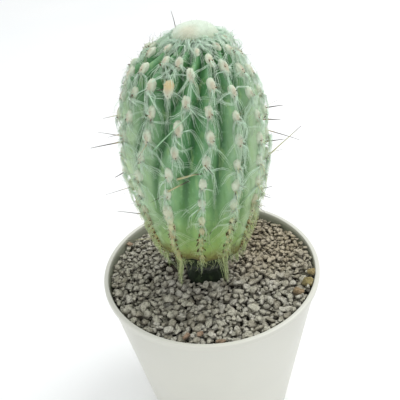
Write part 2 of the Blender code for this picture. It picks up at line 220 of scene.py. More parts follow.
# The radius of each piece's hairs or spines at their roots, before chance makes them uneven
RADII = {
    "areole_fuzz": 0.06 * MM, "areole_beards": 0.08 * MM, "long_wisps": 0.075 * MM,
    "dry_hairs": 0.085 * MM, "cream_hairs": 0.08 * MM, "crown_hairs": 0.055 * MM,
    "crown_fringe": 0.1 * MM, "fine_spines": 0.075 * MM, "long_spines": 0.17 * MM,
    "side_spines": 0.32 * MM, "front_spines": 0.6 * MM, "straw_spines": 0.32 * MM,
    "pale_spines": 0.36 * MM,
}

# The shortest and longest of each piece's hairs or spines in mm
LENGTHS = {
    "areole_fuzz": (0.35, 1.1), "areole_beards": (3, 9), "long_wisps": (9, 26), "dry_hairs": (3, 11),
    "cream_hairs": (5, 14), "crown_hairs": (0.3, 1.1), "crown_fringe": (3, 14),
    "fine_spines": (2.5, 7), "spine_stubs": (0.7, 1.4),
}

# Hairs that grow in bundles: how many along each path, and how far they part
BUNDLES = {
    "areole_beards": (5, 0.22 * MM), "long_wisps": (6, 0.5 * MM), "crown_fringe": (4, 0.3 * MM),
}

# Single spines: angle round the stem in degrees, height in mm, and reach in mm. The front ones lie
# nearly flat over the skin, the pale one points up at the front left, and the straw one stands out
# at the right.
FRONT_SPINES = ((-114.5, 72.3, (10.0, -2.6, 7.0)), (-105.4, 78.6, (10.6, -1.6, 3.2)))
PALE_SPINES = ((-128, 88.0, (17.4, -12.0, 24.6)),)
STRAW_SPINES = ((0, 64.0, (17.6, 0, 18.2)),)
SIDE_SPINES = (
    (2, 91.6, (10.0, 0, 0.9)), (-4, 87.8, (7.5, 0, -0.7)), (3, 80.9, (17.0, 0, -7.0)),
    (-6, 77.1, (9.0, 0, 0)), (-3, 48.0, (7.0, 0, -4.6)),
    (4, 47.3, (8.0, 0, 1.3)), (181, 82.0, (-15.5, 0, -2.2)), (178, 39.0, (-15.2, 0, 2.7)),
    (176, 66.0, (-8.0, -2, -3.4)), (-110.2, 116.6, (-5.2, -1.3, -0.6)), (144, 127.5, (-0.5, 0, 11.0)),
)

# Studio: each softbox's place and width, what both face, the sky's colour, and the camera's sensor
OVERHEAD_SOFTBOX = ((0.35, 0.2, 0.8), 0.4)
FRONT_SOFTBOX = ((-0.45, -0.7, 0.5), 0.5)
SOFTBOX_AIM = Vector((0, 0, 0.13))
SKY_TINT = (0.97, 0.99, 1.0, 1)
SENSOR_WIDTH_MM = 36


def linear(red, green, blue):
    """A colour given as screen values from 0 to 255, as Blender's linear values."""
    shares = [value / 255 for value in (red, green, blue)]
    return tuple(s / 12.92 if s < 0.04045 else ((s + 0.055) / 1.055) ** 2.4 for s in shares)


def colour_prop(name, description, *screen):
    return FloatVectorProperty(
        name=name, description=description, subtype="COLOR", min=0, max=1, default=linear(*screen))


def length_prop(name, description, default, **limits):
    return FloatProperty(
        name=name, description=description, subtype="DISTANCE", unit="LENGTH", default=default, **limits)


def angle_prop(name, description, degrees):
    return FloatProperty(
        name=name, description=description, subtype="ANGLE", default=math.radians(degrees))


class PotSettings(bpy.types.PropertyGroup):
    plastic: colour_prop("Plastic", "The pot's moulded plastic", 210, 209, 199)
    dust: colour_prop("Dust", "Fine grit dust on the inside and under the lip", 186, 180, 166)
    steps: IntProperty(name="Steps", description="Steps round the pot", default=192, min=32)


class GritSettings(bpy.types.PropertyGroup):
    stone: colour_prop("Stone", "Most stones", 213, 209, 191)
    dark_stone: colour_prop("Dark stone", "The darkest of the stones", 181, 175, 157)
    pale_stone: colour_prop("Pale stone", "The palest of the stones", 225, 221, 207)
    # The fill's dark colour is painted shade between the stones.
    bed: colour_prop("Bed", "What shows between the stones", 50, 46, 38)
    smallest: length_prop("Smallest", "The smallest stone's radius", 0.9 * MM)
    largest: length_prop("Largest", "The largest stone's radius", 2.3 * MM)
    depth: length_prop("Depth", "How deep the loose stones lie", 4.2 * MM)
    seed: IntProperty(name="Seed", description="Where the stones fall", default=7)


class StemSettings(bpy.types.PropertyGroup):
    top: colour_prop("Young skin", "Skin near the crown", 74, 130, 78)
    middle: colour_prop("Grown skin", "Skin at mid height", 112, 159, 99)
    bottom: colour_prop("Old skin", "Skin low on the stem", 163, 190, 98)
    cork: colour_prop("Cork", "Dry skin just above the lower edge", 140, 144, 80)
    # Dark old skin, made darker still as painted shade under the overhang.
    under: colour_prop("Underside", "Old dark skin under the lower edge", 24, 36, 18)
    bloom: colour_prop("Bloom", "Waxy bloom on the ridges", 146, 190, 148)
    groove: length_prop("Groove", "Depth of the grooves on the young growth", 3.9 * MM)
    swell: length_prop("Swell", "How far a rib swells at each areole", 0.8 * MM)


class WoolSettings(bpy.types.PropertyGroup):
    felt: colour_prop("Felt", "The areoles' felt", 213, 225, 202)
    heart: colour_prop("Heart", "The middle of each areole", 192, 182, 158)
    old_felt: colour_prop("Old felt", "The areoles' felt near the base", 200, 198, 134)
    hair: colour_prop("Hair", "Long hairs and beards", 212, 240, 218)
    crown: colour_prop("Crown", "Wool on the crown", 208, 222, 204)
    width: length_prop("Width", "Width of an areole", 3.4 * MM)
    length: length_prop("Length", "Length of an areole", 6.3 * MM)
    rise: length_prop("Rise", "How far an areole stands up", 1.6 * MM)
    seed: IntProperty(name="Seed", description="How the hairs fall", default=3)


class SpineSettings(bpy.types.PropertyGroup):
    straw: colour_prop("Straw", "Most of a spine's length", 190, 184, 140)
    tip: colour_prop("Tip", "A spine's tip", 58, 44, 36)
    shortest: length_prop("Shortest", "Length of the shortest central spines", 5 * MM)
    longest: length_prop("Longest", "Length of the longest central spines", 17 * MM)
    share: FloatProperty(
        name="Share", description="Share of the areoles that still have a central spine", default=0.4)
    seed: IntProperty(name="Seed", description="How the spines point", default=11)


class StudioSettings(bpy.types.PropertyGroup):
    lens: FloatProperty(name="Lens", description="Focal length", unit="CAMERA", default=61.2)
    distance: length_prop("Distance", "From the rim's centre to the camera", 6.361 * RIM_RADIUS)
    elevation: angle_prop("Elevation", "Of the camera above the rim", 40.957)
    tilt: angle_prop("Tilt", "How far the camera looks above the rim's centre", 5.598)
    turn: angle_prop("Turn", "How far the camera looks to the left of the rim's centre", 0.526)
    roll: angle_prop("Roll", "How far the camera is turned clockwise", 5.351)
    floor: colour_prop("Floor", "The floor", 250, 250, 249)
    sky: FloatProperty(name="Sky", description="Strength of the light all round", default=0.92, min=0)
    key: FloatProperty(
        name="Key", description="Power of the overhead softbox", unit="POWER", default=2.8, min=0)
    fill: FloatProperty(
        name="Fill", description="Power of the front softbox", unit="POWER", default=0.4, min=0)


class CactusSettings(bpy.types.PropertyGroup):
    pot: PointerProperty(type=PotSettings)
    grit: PointerProperty(type=GritSettings)
    stem: PointerProperty(type=StemSettings)
    wool: PointerProperty(type=WoolSettings)
    spines: PointerProperty(type=SpineSettings)
    studio: PointerProperty(type=StudioSettings)


# Meshes

def add_object(name, data):
    """A new object in the scene."""
    item = bpy.data.objects.new(name, data)
    bpy.context.scene.collection.objects.link(item)
    return item


def from_bmesh(name, work):
    """An object with the mesh that was worked on."""
    mesh = bpy.data.meshes.new(name)
    work.to_mesh(mesh)
    work.free()
    return add_object(name, mesh)


def mesh_object(name, points, faces, **attributes):
    """A smooth object from points and faces, with one number a point in each named attribute."""
    mesh = bpy.data.meshes.new(name)
    mesh.from_pydata(points, [], faces)
    mesh.validate()
    for key, values in attributes.items():
        layer = mesh.attributes.new(key, "FLOAT", "POINT")
        layer.data.foreach_set("value", np.asarray(values, np.float32).ravel())
    mesh.shade_smooth()
    return add_object(name, mesh)


def dress(piece, material, slot, *nodes):
    """Gives a piece its material and its place on the body, and hides the nodes that it stands for."""
    piece.data.materials.clear()
    piece.data.materials.append(material)
    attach(piece, BODY)
    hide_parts(*nodes)


def ball(subdivisions):
    """A unit ball's points and triangles."""
    work = bmesh.new()
    bmesh.ops.create_icosphere(work, subdivisions=subdivisions, radius=1)
    points = np.array([vert.co for vert in work.verts])
    faces = np.array([[vert.index for vert in face.verts] for face in work.faces])
    work.free()
    return points, faces


def repeat_faces(faces, points_each, count):
    """The faces of one shape, repeated for each of its copies."""
    starts = np.arange(count)[:, None, None] * points_each
    return (faces[None] + starts).reshape(-1, faces.shape[1])


def unit(vectors):
    return vectors / np.maximum(np.linalg.norm(vectors, axis=-1, keepdims=True), 1e-12)


def tubes(name, paths, radii, shades, sides=3):
    """Fine tapered tubes along paths, an array of tube, step and place, closed at both ends."""
    count, steps, _ = paths.shape
    along = unit(np.gradient(paths, axis=1))
    guide = np.where(np.abs(along[..., 2:]) < 0.9, [[[0.0, 0.0, 1.0]]], [[[1.0, 0.0, 0.0]]])
    side = unit(np.cross(along, guide))
    other = np.cross(along, side)
    turns = 2 * math.pi * np.arange(sides) / sides
    ring = side[:, :, None] * np.cos(turns)[:, None] + other[:, :, None] * np.sin(turns)[:, None]
    points = (paths[:, :, None] + ring * radii[:, :, None, None]).reshape(-1, 3)
    each = steps * sides
    start = (np.arange(count) * each)[:, None, None] + (np.arange(steps - 1) * sides)[:, None]
    here = start + np.arange(sides)
    after = start + (np.arange(sides) + 1) % sides
    walls = np.stack([here, after, after + sides, here + sides], -1).reshape(-1, 4)
    first = (np.arange(count) * each)[:, None]
    caps = np.concatenate([first + np.arange(sides)[::-1], first + each - sides + np.arange(sides)])
    reach = np.broadcast_to(np.linspace(0, 1, steps)[None, :, None], (count, steps, sides))
    shade = np.broadcast_to(shades[:, None, None], (count, steps, sides))
    return mesh_object(name, points, walls.tolist() + caps.tolist(), reach=reach, shade=shade)


# The stem's form

def smooth_step(value, low, high):
    """0 at low and 1 at high, with a smooth rise between them."""
    t = np.clip((np.asarray(value) - low) / (high - low), 0, 1)
    return t * t * (3 - 2 * t)


def smooth_outline(points, steps=40):
    """Points along a Catmull-Rom curve through these."""
    places = np.array([points[0], *points, points[-1]])
    t = (np.arange(steps) / steps)[:, None]
    curve = [
        0.5 * (2 * b + (c - a) * t + (2 * a - 5 * b + 4 * c - d) * t**2 + (3 * b - a - 3 * c + d) * t**3)
        for a, b, c, d in zip(places, places[1:], places[2:], places[3:])
    ]
    return np.concatenate([*curve, places[-1:]])


def hem_height(angle):
    """Where the living skin ends, which is highest at the front left and ragged all round."""
    lift = np.exp((np.cos(angle - HIGHEST_TURN) - 1) / HEM_SPREAD)
    ragged = 0.5 * np.sin(5 * angle + 1) + 0.35 * np.sin(13 * angle)
    return HEM + HEM_LIFT * lift + ragged * MM


def axis_x(height):
    """Where the stem's axis stands, which bends a little near the crown."""
    return STEM_X + CROWN_SHIFT * smooth_step(height, CROWN_BEND_START, STEM_HEIGHT)


class StemForm:
    """The ribbed surface, read by distance up the outline, rib and place across the rib."""

    def __init__(self, settings):
        self.settings = settings
        self.points = smooth_outline(STEM_OUTLINE)
        steps = np.linalg.norm(np.diff(self.points, axis=0), axis=1)
        self.distance = np.concatenate([[0], np.cumsum(steps)])
        self.length = self.distance[-1]
        crown = self.points[:, 1] > CROWN_BASE
        self.crown = (-self.points[crown, 0], self.distance[crown])
        self.shell = self.points[::SHELL_STEP]
        along = unit(np.gradient(self.shell, axis=0))
        self.shell_out = np.stack([along[:, 1], -along[:, 0]], -1)
        self.areoles = self.find_areoles()

    def at(self, distance):
        """Radius and height there."""
        return [np.interp(distance, self.distance, self.points[:, k]) for k in (0, 1)]

    def outward(self, distance):
        """The radial and upward shares of the outward direction."""
        step = 0.4 * MM
        (r0, z0), (r1, z1) = self.at(distance - step), self.at(distance + step)
        size = np.hypot(r1 - r0, z1 - z0)
        return (z1 - z0) / size, (r0 - r1) / size

    def where_radius(self, radius):
        """Distance to the place on the crown with this radius."""
        return np.interp(-radius, *self.crown)

    def widths(self, height):
        """How far each rib has grown at these heights."""
        height = np.asarray(height)[..., None]
        grown = np.ones(height.shape[:-1] + (RIBS,))
        for rib, (start, full) in NEW_RIBS.items():
            rise = smooth_step(height[..., 0], start * MM, full * MM)
            grown[..., rib] = np.maximum(SMALLEST_RIB, rise)
        return grown

    def spans(self, height):
        """The ribs' middles, half widths and growth at these heights."""
        widths = self.widths(height)
        shares = widths / widths.sum(-1, keepdims=True)
        sway = MID_TURN * (smooth_step(height, *MID_TURN_GROWS) - smooth_step(height, *MID_TURN_FADES))
        turn = math.pi / 2 + RIB_TURN + sway + CROWN_TURN * smooth_step(height, *CROWN_TURNS)
        middles = np.cumsum(shares, -1) * 2 * math.pi - shares * math.pi + turn[..., None]
        return middles, shares * math.pi, widths

    def groove_depth(self, radius, height):
        grown = 0.32 + 0.68 * smooth_step(height, *GROOVE_GROWS)
        fade = np.minimum(1.0, radius / GROOVE_FADES_INSIDE) ** 1.3
        return self.settings.groove * grown * fade * smooth_step(height, *GROOVE_STARTS)

    def profile(self, across, height):
        """1 on the ridge and 0 in the groove: steep flanks on young growth, wide flats on old."""
        apart = np.sqrt(np.abs(across) ** 2 + RIDGE_SOFTNESS**2) - RIDGE_SOFTNESS
        apart = np.minimum(apart / (1 - RIDGE_SOFTNESS), 1)
        old = smooth_step(height, *RIBS_FLATTEN)
        return (1 - apart**1.2) * (1 - old) + (1 - apart) ** 2 * old

    def where_height(self, height):
        """Distance to this height on the lower part of the outline."""
        rising = np.argmax(self.points[:, 1])
        return np.interp(height, self.points[:rising, 1], self.distance[:rising])

    def find_areoles(self):
        """Rib and distance of each areole, from the crown down, with neighbours half a step apart."""
        first = self.where_radius(CROWN_AREOLE_RADIUS)
        self.young_tufts = []
        found = []
        for rib in range(RIBS):
            order = rib - sum(new <= rib for new in NEW_RIBS)
            distance = first - 0.5 * AREOLE_SPACING * (order % 2)
            height = self.at(distance)[1]
            if order % 2:
                self.young_tufts.append((rib, distance + AREOLE_SPACING))
            while height > LOWEST_AREOLE and self.widths(height)[rib] > NARROWEST_WITH_AREOLES:
                found.append((rib, distance))
                young = smooth_step(height, *SPACING_OPENS)
                distance -= OLD_AREOLE_SPACING + (AREOLE_SPACING - OLD_AREOLE_SPACING) * young
                height = self.at(distance)[1]
        return found

    def areoles_and_tufts(self):
        """Each areole at full size, young tufts by the crown, and tufts between the old areoles."""
        places = [(rib, distance, 0.85) for rib, distance in self.young_tufts if rib not in NEW_RIBS]
        for rib, distance in self.areoles:
            height = self.at(distance)[1]
            merged = rib == MERGED_RIB and MERGED_HEIGHTS[0] < height < MERGED_HEIGHTS[1]
            places.append((rib, distance, 1.35 if merged else 1.0))
            if merged:
                places += [(rib, distance - share * OLD_AREOLE_SPACING, 1.3) for share in (0.3, 0.6)]
            elif rib % 5 != FRONT_RIB % 5 and OLD_TUFT_HEIGHTS[0] < height < OLD_TUFT_HEIGHTS[1]:
                places.append((rib, distance - 0.5 * OLD_AREOLE_SPACING, 0.7))
        return places

    def is_first(self, rib, distance):
        """Whether this is the lowest areole of its rib."""
        return distance == min(place for owner, place in self.areoles if owner == rib)

    def swell(self, distance, rib):
        """1 level with an areole and 0 midway between two, along one rib."""
        places = sorted(place for owner, place in self.areoles if owner == rib)
        places = [places[0] - AREOLE_SPACING, *places, places[-1] + AREOLE_SPACING]
        turns = np.interp(distance, places, np.arange(len(places)))
        return 0.5 + 0.5 * np.cos(2 * math.pi * turns)

    def place(self, distance, angle, sink):
        """Points this far in from the surface that touches all the ridges."""
        radius, height = self.at(distance)
        out, up = self.outward(distance)
        across = radius - sink * out
        return np.stack(np.broadcast_arrays(
            axis_x(height) + across * np.cos(angle),
            STEM_Y + across * np.sin(angle),
            STEM_FOOT + height - sink * up,
        ), -1)

    def seat(self, rib, distance):
        """Axes on a ridge as columns (across, along and outward), and the place there."""
        radius, height = self.at(distance)
        middles, _, widths = self.spans(height)
        angle = middles[rib]
        sink = self.groove_depth(radius, height) * (1 - widths[rib])
        out, up = self.outward(distance)
        outward = np.array([out * math.cos(angle), out * math.sin(angle), up])
        across = np.array([-math.sin(angle), math.cos(angle), 0.0])
        axes = np.stack([across, np.cross(outward, across), outward], 1)
        return axes, self.place(distance, angle, sink)

    def sink_at(self, radius, height, angle):
        """How far in the skin lies from the surface that touches all the ridges."""
        middles, halves, widths = self.spans(height)
        across = (angle[:, None] - middles + math.pi) % (2 * math.pi) - math.pi
        across = np.abs(across) / halves
        nearest = np.arange(len(angle)), np.argmin(across, axis=1)
        profile = self.profile(np.minimum(across[nearest], 1), height)
        return self.groove_depth(radius, height) * (1 - widths[nearest] * profile)

    def hug(self, points, nearest, farthest):
        """Moves points to between these two distances from the skin."""
        height = points[:, 2] - STEM_FOOT
        flat = points[:, :2] - np.stack([axis_x(height), np.full_like(height, STEM_Y)], -1)
        reach = np.linalg.norm(flat, axis=-1)
        place = np.stack([reach, height], -1)
        index = np.argmin(((place[:, None] - self.shell) ** 2).sum(-1), axis=1)
        out = self.shell_out[index]
        sink = self.sink_at(*self.shell[index].T, np.arctan2(flat[:, 1], flat[:, 0]))
        gap = ((place - self.shell[index]) * out).sum(-1) + sink
        shift = (np.clip(gap, nearest, farthest) - gap)[:, None] * out
        sideways = flat / np.maximum(reach, 1e-6)[:, None] * shift[:, :1]
        return points + np.concatenate([sideways, shift[:, 1:]], -1)


# Materials

class Graph:
    """A material's nodes, each made and linked in one call."""

    def __init__(self, name):
        self.material = bpy.data.materials.new(name)
        self.material.use_nodes = True
        self.tree = self.material.node_tree
        self.shader = self.tree.nodes["Principled BSDF"]
        self.coords = self.add("ShaderNodeTexCoord").outputs["Object"]

    def add(self, kind, inputs=None, **settings):
        node = self.tree.nodes.new(kind)
        for key, value in settings.items():
            setattr(node, key, value)
        for key, value in (inputs or {}).items():
            self.set(node.inputs[key], value)
        return node

    def set(self, socket, value):
        """Links a socket or gives it a value. A colour written as numbers is in screen values."""
        if isinstance(value, bpy.types.NodeSocket):
            self.tree.links.new(value, socket)
        elif socket.type == "RGBA":
            colour = linear(*value) if isinstance(value, tuple) else value
            socket.default_value = (*colour[:3], 1.0)
        else:
            socket.default_value = value

    def finish(self, **sockets):
        for key, value in sockets.items():
            self.set(self.shader.inputs[key.replace("_", " ")], value)
        return self.material

    def noise(self, scale, detail, roughness=0.55, coords=None):
        inputs = {"Scale": scale, "Detail": detail, "Roughness": roughness}
        inputs["Vector"] = coords or self.coords
        return self.add("ShaderNodeTexNoise", inputs).outputs["Fac"]

    def wander(self, scale, detail, size):
        """Noise that goes to both sides of 0, with this size from end to end."""
        return self.times(self.math("SUBTRACT", self.noise(scale, detail), 0.5), size)

    def stretched(self, *scale):
        return self.add("ShaderNodeMapping", {"Vector": self.coords, "Scale": scale}).outputs[0]

    def spots(self, scale):
        inputs = {"Vector": self.coords, "Scale": scale}
        return self.add("ShaderNodeTexVoronoi", inputs).outputs["Distance"]

    def attribute(self, name):
        return self.add("ShaderNodeAttribute", attribute_name=name).outputs["Fac"]

    def height(self, above=0.0):
        """Height above this level."""
        place = self.add("ShaderNodeSeparateXYZ", {"Vector": self.coords})
        return self.math("SUBTRACT", place.outputs["Z"], above)

    def reach(self):
        """Distance from the upright axis."""
        flat = self.add("ShaderNodeVectorMath", {0: self.coords, 1: (1, 1, 0)}, operation="MULTIPLY")
        return self.add("ShaderNodeVectorMath", {0: flat.outputs[0]}, operation="LENGTH").outputs["Value"]

    def near(self, place, inner, outer):
        """1 within the inner distance of a place and 0 past the outer one."""
        apart = self.add("ShaderNodeVectorMath", {0: self.coords, 1: place}, operation="DISTANCE")
        return self.range(apart.outputs["Value"], inner, outer, 1.0, 0.0)

    def range(self, value, low, high, to_low=0.0, to_high=1.0):
        inputs = {"Value": value, "From Min": low, "From Max": high, "To Min": to_low, "To Max": to_high}
        return self.add("ShaderNodeMapRange", inputs, interpolation_type="SMOOTHSTEP").outputs[0]

    def math(self, operation, *values):
        return self.add("ShaderNodeMath", dict(enumerate(values)), operation=operation).outputs[0]

    def times(self, first, *others):
        for other in others:
            first = self.math("MULTIPLY", first, other)
        return first

    def mix(self, share, first, second):
        return self.add("ShaderNodeMix", {0: share, 6: first, 7: second}, data_type="RGBA").outputs[2]

    def layers(self, colour, *layers):
        """A colour under layers, each a tint with its share or with what range takes to give it."""
        for tint, *share in layers:
            colour = self.mix(self.range(*share) if len(share) > 1 else share[0], colour, tint)
        return colour

    def bump(self, height, distance, strength=1.0, normal=None):
        inputs = {"Height": height, "Distance": distance, "Strength": strength}
        if normal:
            inputs["Normal"] = normal
        return self.add("ShaderNodeBump", inputs).outputs[0]


def pot_material(settings):
    """White moulded plastic of slightly uneven gloss, with dust inside the lip, and an inner wall darkened
    downwards partly by a dusty coating and partly as painted shade.
    """
    g = Graph("white_pot_plastic")
    cloud = g.noise(60, 3)
    height = g.height()
    bottom = inner_wall_radius(0)
    slope = (inner_wall_radius(POT_HEIGHT) - bottom) / POT_HEIGHT
    wall = g.math("MULTIPLY_ADD", height, slope, bottom)
    inner = g.range(g.math("SUBTRACT", g.reach(), wall), 0.1 * MM, 0.5 * MM, 1.0, 0.0)
    speck = g.range(g.spots(520), 0.0, 0.25, 1.0, 0.0)
    patch = g.range(g.noise(140, 4), 0.56, 0.7)
    rim = g.range(height, POT_HEIGHT - 14 * MM, POT_HEIGHT - 3 * MM)
    # Inner wall darkening, strongest lower down inside the mouth: partly a dusty coating, partly painted
    # shade.
    film_and_shade = g.range(height, POT_HEIGHT - 2.4 * MM, POT_HEIGHT - 0.5 * MM, 0.9, 0.35)
    colour = g.layers(
        settings.plastic,
        ((230, 228, 216), cloud, 0.3, 0.7, 0.0, 0.12),
        ((138, 141, 123), g.times(inner, film_and_shade)),
        (settings.dust, g.times(speck, patch, rim, inner, 0.6)),
    )
    return g.finish(Base_Color=colour, Roughness=g.range(cloud, 0.3, 0.7, 0.3, 0.4))


def stone_material(settings):
    """Dry pumice-like stone: each has its own tone, with warm stones and a sandy patch, mottling that
    doubles as painted shade and highlight, and painted shade in its pits and on its lower part.
    """
    g = Graph("grit_stone")
    shade, warm = g.attribute("shade"), g.attribute("warm")
    sandy = g.near(SANDY_PLACE, *SANDY_REACH)
    lumps = g.noise(960, 6, 0.76)
    pits = g.range(g.spots(1500), 0.05, 0.35)
    colour = g.layers(
        settings.dark_stone,
        (settings.stone, shade, 0.0, 0.45),
        (settings.pale_stone, shade, 0.6, 1.0),
        ((182, 152, 126), warm, 0.55, 0.75),
        ((166, 150, 98), warm, 0.9, 0.95),
        ((198, 176, 138), g.times(sandy, 0.5)),
        # Mottling that doubles as painted shade in the bump's hollows and a painted highlight on its
        # crests.
        ((98, 92, 77), lumps, 0.4, 0.52, 0.6, 0.0),
        ((212, 207, 190), lumps, 0.54, 0.64, 0.0, 0.45),
        # Painted shade in the pits.
        ((92, 84, 70), g.math("SUBTRACT", 0.4, g.times(pits, 0.4))),
        # Painted shade on each stone's lower part.
        ((68, 63, 51), g.attribute("top"), 0.3, 0.85, 0.85, 0.0),
    )
    normal = g.bump(lumps, 1.2 * MM, 1.0, g.bump(pits, 0.25 * MM, 0.7))
    return g.finish(Base_Color=colour, Roughness=0.93, Normal=normal, Specular_IOR_Level=0.25)


def bed_material(settings):
    """The fill under the loose stones, painted dark as the shade between them."""
    g = Graph("shaded_grit_bed")
    colour = g.layers(settings.bed, ((88, 78, 68), g.noise(900, 5), 0.35, 0.7))
    normal = g.bump(g.noise(1500, 5), 0.4 * MM)
    return g.finish(Base_Color=colour, Roughness=0.97, Normal=normal)


def skin_material(settings):
    """Green skin: painted shade in the grooves, waxy on the ridges, painted pale light at the sides, dry
    above the hem, and under it dark old skin that also stands in as painted shade.
    """
    g = Graph("cactus_skin")
    height, ridge, hem = g.height(STEM_FOOT), g.attribute("ridge"), g.attribute("hem")
    level = g.math("ADD", height, g.wander(45, 3, 26 * MM))
    ragged = g.math("ADD", hem, g.wander(240, 4, 5.0))
    fleck = g.noise(520, 5, 0.65)
    stripes = g.noise(420, 3, coords=g.stretched(1, 1, 0.12))
    # Painted shade in the grooves, strongest on the young growth.
    deep = g.times(g.range(ridge, 0.0, 0.5, 0.85, 0.0), g.range(height, 30 * MM, 84 * MM, 0.12, 1.0))
    # Painted light: the skin turns paler towards the left and right sides, as though lit from behind, most
    # on the ridges.
    side = g.times(g.attribute("side"), g.range(ridge, 0.1, 0.6, 0.18, 1.0))
    cork = g.layers(settings.cork, ((106, 96, 48), g.noise(700, 4), 0.35, 0.65))
    # The underside: dark old skin that also stands in as painted shade under the overhanging lower edge.
    under = g.layers(settings.under, ((52, 66, 38), stripes, 0.48, 0.7))
    colour = g.layers(
        settings.bottom,
        (settings.middle, level, 20 * MM, 66 * MM),
        (settings.top, level, 58 * MM, 94 * MM),
        ((34, 84, 42), deep),
        (settings.bloom, fleck, 0.52, 0.72, 0.0, 0.4),
        ((72, 116, 70), g.noise(170, 4), 0.5, 0.75, 0.0, 0.35),
        (settings.bloom, ridge, 0.55, 1.0, 0.0, 0.5),
        # Painted pale light at the sides.
        ((202, 224, 186), side),
        ((160, 192, 124), stripes, 0.52, 0.7, 0.0, 0.4),
        ((80, 128, 58), stripes, 0.3, 0.46, 0.4, 0.0),
        ((150, 172, 104), ragged, 2.0, 14.0, 0.5, 0.0),
        (cork, ragged, 3.0, 9.5, 0.9, 0.0),
        ((96, 84, 46), ragged, 0.5, 3.0, 0.6, 0.0),
        (under, hem, -1.2, 0.2, 1.0, 0.0),
    )
    normal = g.bump(g.noise(260, 5), 0.3 * MM, 0.5)
    normal = g.bump(g.noise(300, 4, coords=g.stretched(1, 1, 0.2)), 0.3 * MM, 0.5, normal)
    normal = g.bump(g.range(g.spots(1500), 0.0, 0.3), 0.05 * MM, 0.6, normal)
    rough = g.math("MAXIMUM", g.range(fleck, 0.3, 0.75, 0.42, 0.64), g.range(hem, -1.0, 0.0, 0.95, 0.0))
    return g.finish(
        Base_Color=colour, Roughness=rough, Normal=normal, Subsurface_Weight=0.14,
        Subsurface_Radius=(0.0016, 0.003, 0.0012), Subsurface_Scale=0.6, Specular_IOR_Level=0.36,
        Sheen_Weight=0.1, Sheen_Roughness=0.4,
    )


def felt_material(settings):
    """Matted wool, beige in its heart, with dark specks at the lower end of each areole."""
    g = Graph("areole_felt")
    height = g.height(STEM_FOOT)
    beige = g.times(g.range(g.attribute("heart"), 0.25, 0.9, 0.0, 0.8), g.range(height, 62 * MM, 98 * MM))
    aged = g.layers(settings.old_felt, ((172, 148, 92), g.attribute("shade"), 0.4, 1.0))
    clumps = g.noise(1500, 5, 0.7)
    speck = g.times(g.range(g.noise(900, 2), 0.58, 0.64), g.range(g.attribute("low"), 0.3, 0.9), 0.7)
    wool = g.layers(
        settings.felt,
        (settings.heart, beige),
        (aged, height, 40 * MM, 72 * MM, 0.9, 0.0),
        ((218, 190, 132), g.attribute("tint"), 0.0, 1.0, 0.0, 0.75),
        ((182, 172, 146), clumps, 0.3, 0.7, 0.3, 0.0),
        ((92, 66, 48), speck),
    )
    return g.finish(
        Base_Color=wool, Roughness=0.95, Normal=g.bump(clumps, 0.3 * MM, 0.8), Sheen_Weight=0.25,
        Sheen_Roughness=0.5, Subsurface_Weight=0.2, Subsurface_Radius=(0.001, 0.001, 0.0008),
        Specular_IOR_Level=0.15,
    )


def hair_material(name, root, tip):
    """Pale hair whose colour changes from root to tip, and which is yellower low on the stem."""
    g = Graph(name)
    colour = g.layers(
        root,
        (tip, g.attribute("reach")),
        ((196, 208, 160), g.attribute("shade"), 0.0, 1.0, 0.0, 0.2),
        ((186, 202, 136), g.height(STEM_FOOT), 34 * MM, 66 * MM, 0.75, 0.0),
    )
    return g.finish(
        Base_Color=colour, Roughness=0.45, Specular_IOR_Level=0.35, Subsurface_Weight=0.8,
        Subsurface_Radius=(0.002, 0.002, 0.002),
    )


def stub_material():
    """Brown stumps, dark at the tip."""
    g = Graph("spine_stub")
    colour = g.layers(
        (116, 88, 50),
        ((58, 46, 28), g.attribute("reach")),
        ((150, 110, 56), g.attribute("shade"), 0.6, 1.0, 0.0, 0.5),
    )
    return g.finish(Base_Color=colour, Roughness=0.6, Normal=g.bump(g.noise(2400, 3), 0.05 * MM))


def dry_material():
    """Dry fibrous skin at the rib ends."""
    g = Graph("dry_rib_end")
    fibres = g.noise(1500, 4, coords=g.stretched(1, 1, 0.12))
    colour = g.layers(
        (134, 134, 88),
        ((202, 208, 162), fibres, 0.35, 0.65),
        ((144, 158, 98), g.attribute("reach"), 0.0, 0.5, 0.6, 0.0),
    )
    return g.finish(Base_Color=colour, Roughness=0.85, Normal=g.bump(fibres, 0.3 * MM))


def spine_material(settings):
    """Straw-coloured needles that darken to brown tips."""
    g = Graph("spine")
    shade = g.attribute("shade")
    dark_from = g.math("SUBTRACT", 0.6, g.times(shade, 0.45))
    colour = g.layers(
        settings.straw,
        ((150, 116, 62), shade, 0.3, 1.0, 0.0, 0.6),
        (settings.tip, g.math("SUBTRACT", g.attribute("reach"), dark_from), 0.0, 0.3),
    )
    grain = g.noise(2400, 2, coords=g.stretched(1, 1, 0.3))
    return g.finish(
        Base_Color=colour, Roughness=0.42, Normal=g.bump(grain, 0.02 * MM), Specular_IOR_Level=0.5)


def crown_material(settings):
    """Soft pale wool, darker and warmer low down."""
    g = Graph("crown_wool")
    blush = g.near((axis_x(STEM_HEIGHT) - 2.5 * MM, STEM_Y - 4 * MM, WOOL_HIGH.z - 1 * MM), 1 * MM, 6 * MM)
    matted = g.noise(900, 5, 0.65)
    colour = g.layers(
        (196, 208, 182),
        (settings.crown, g.height(), WOOL_LOW.z, WOOL_HIGH.z),
        ((210, 200, 176), g.times(blush, 0.6)),
        ((186, 194, 168), matted, 0.3, 0.7, 0.25, 0.0),
    )
    return g.finish(
        Base_Color=colour, Roughness=0.95, Normal=g.bump(matted, 0.4 * MM, 0.7), Sheen_Weight=0.3,
        Subsurface_Weight=0.4, Subsurface_Radius=(0.003, 0.003, 0.003), Specular_IOR_Level=0.15,
    )


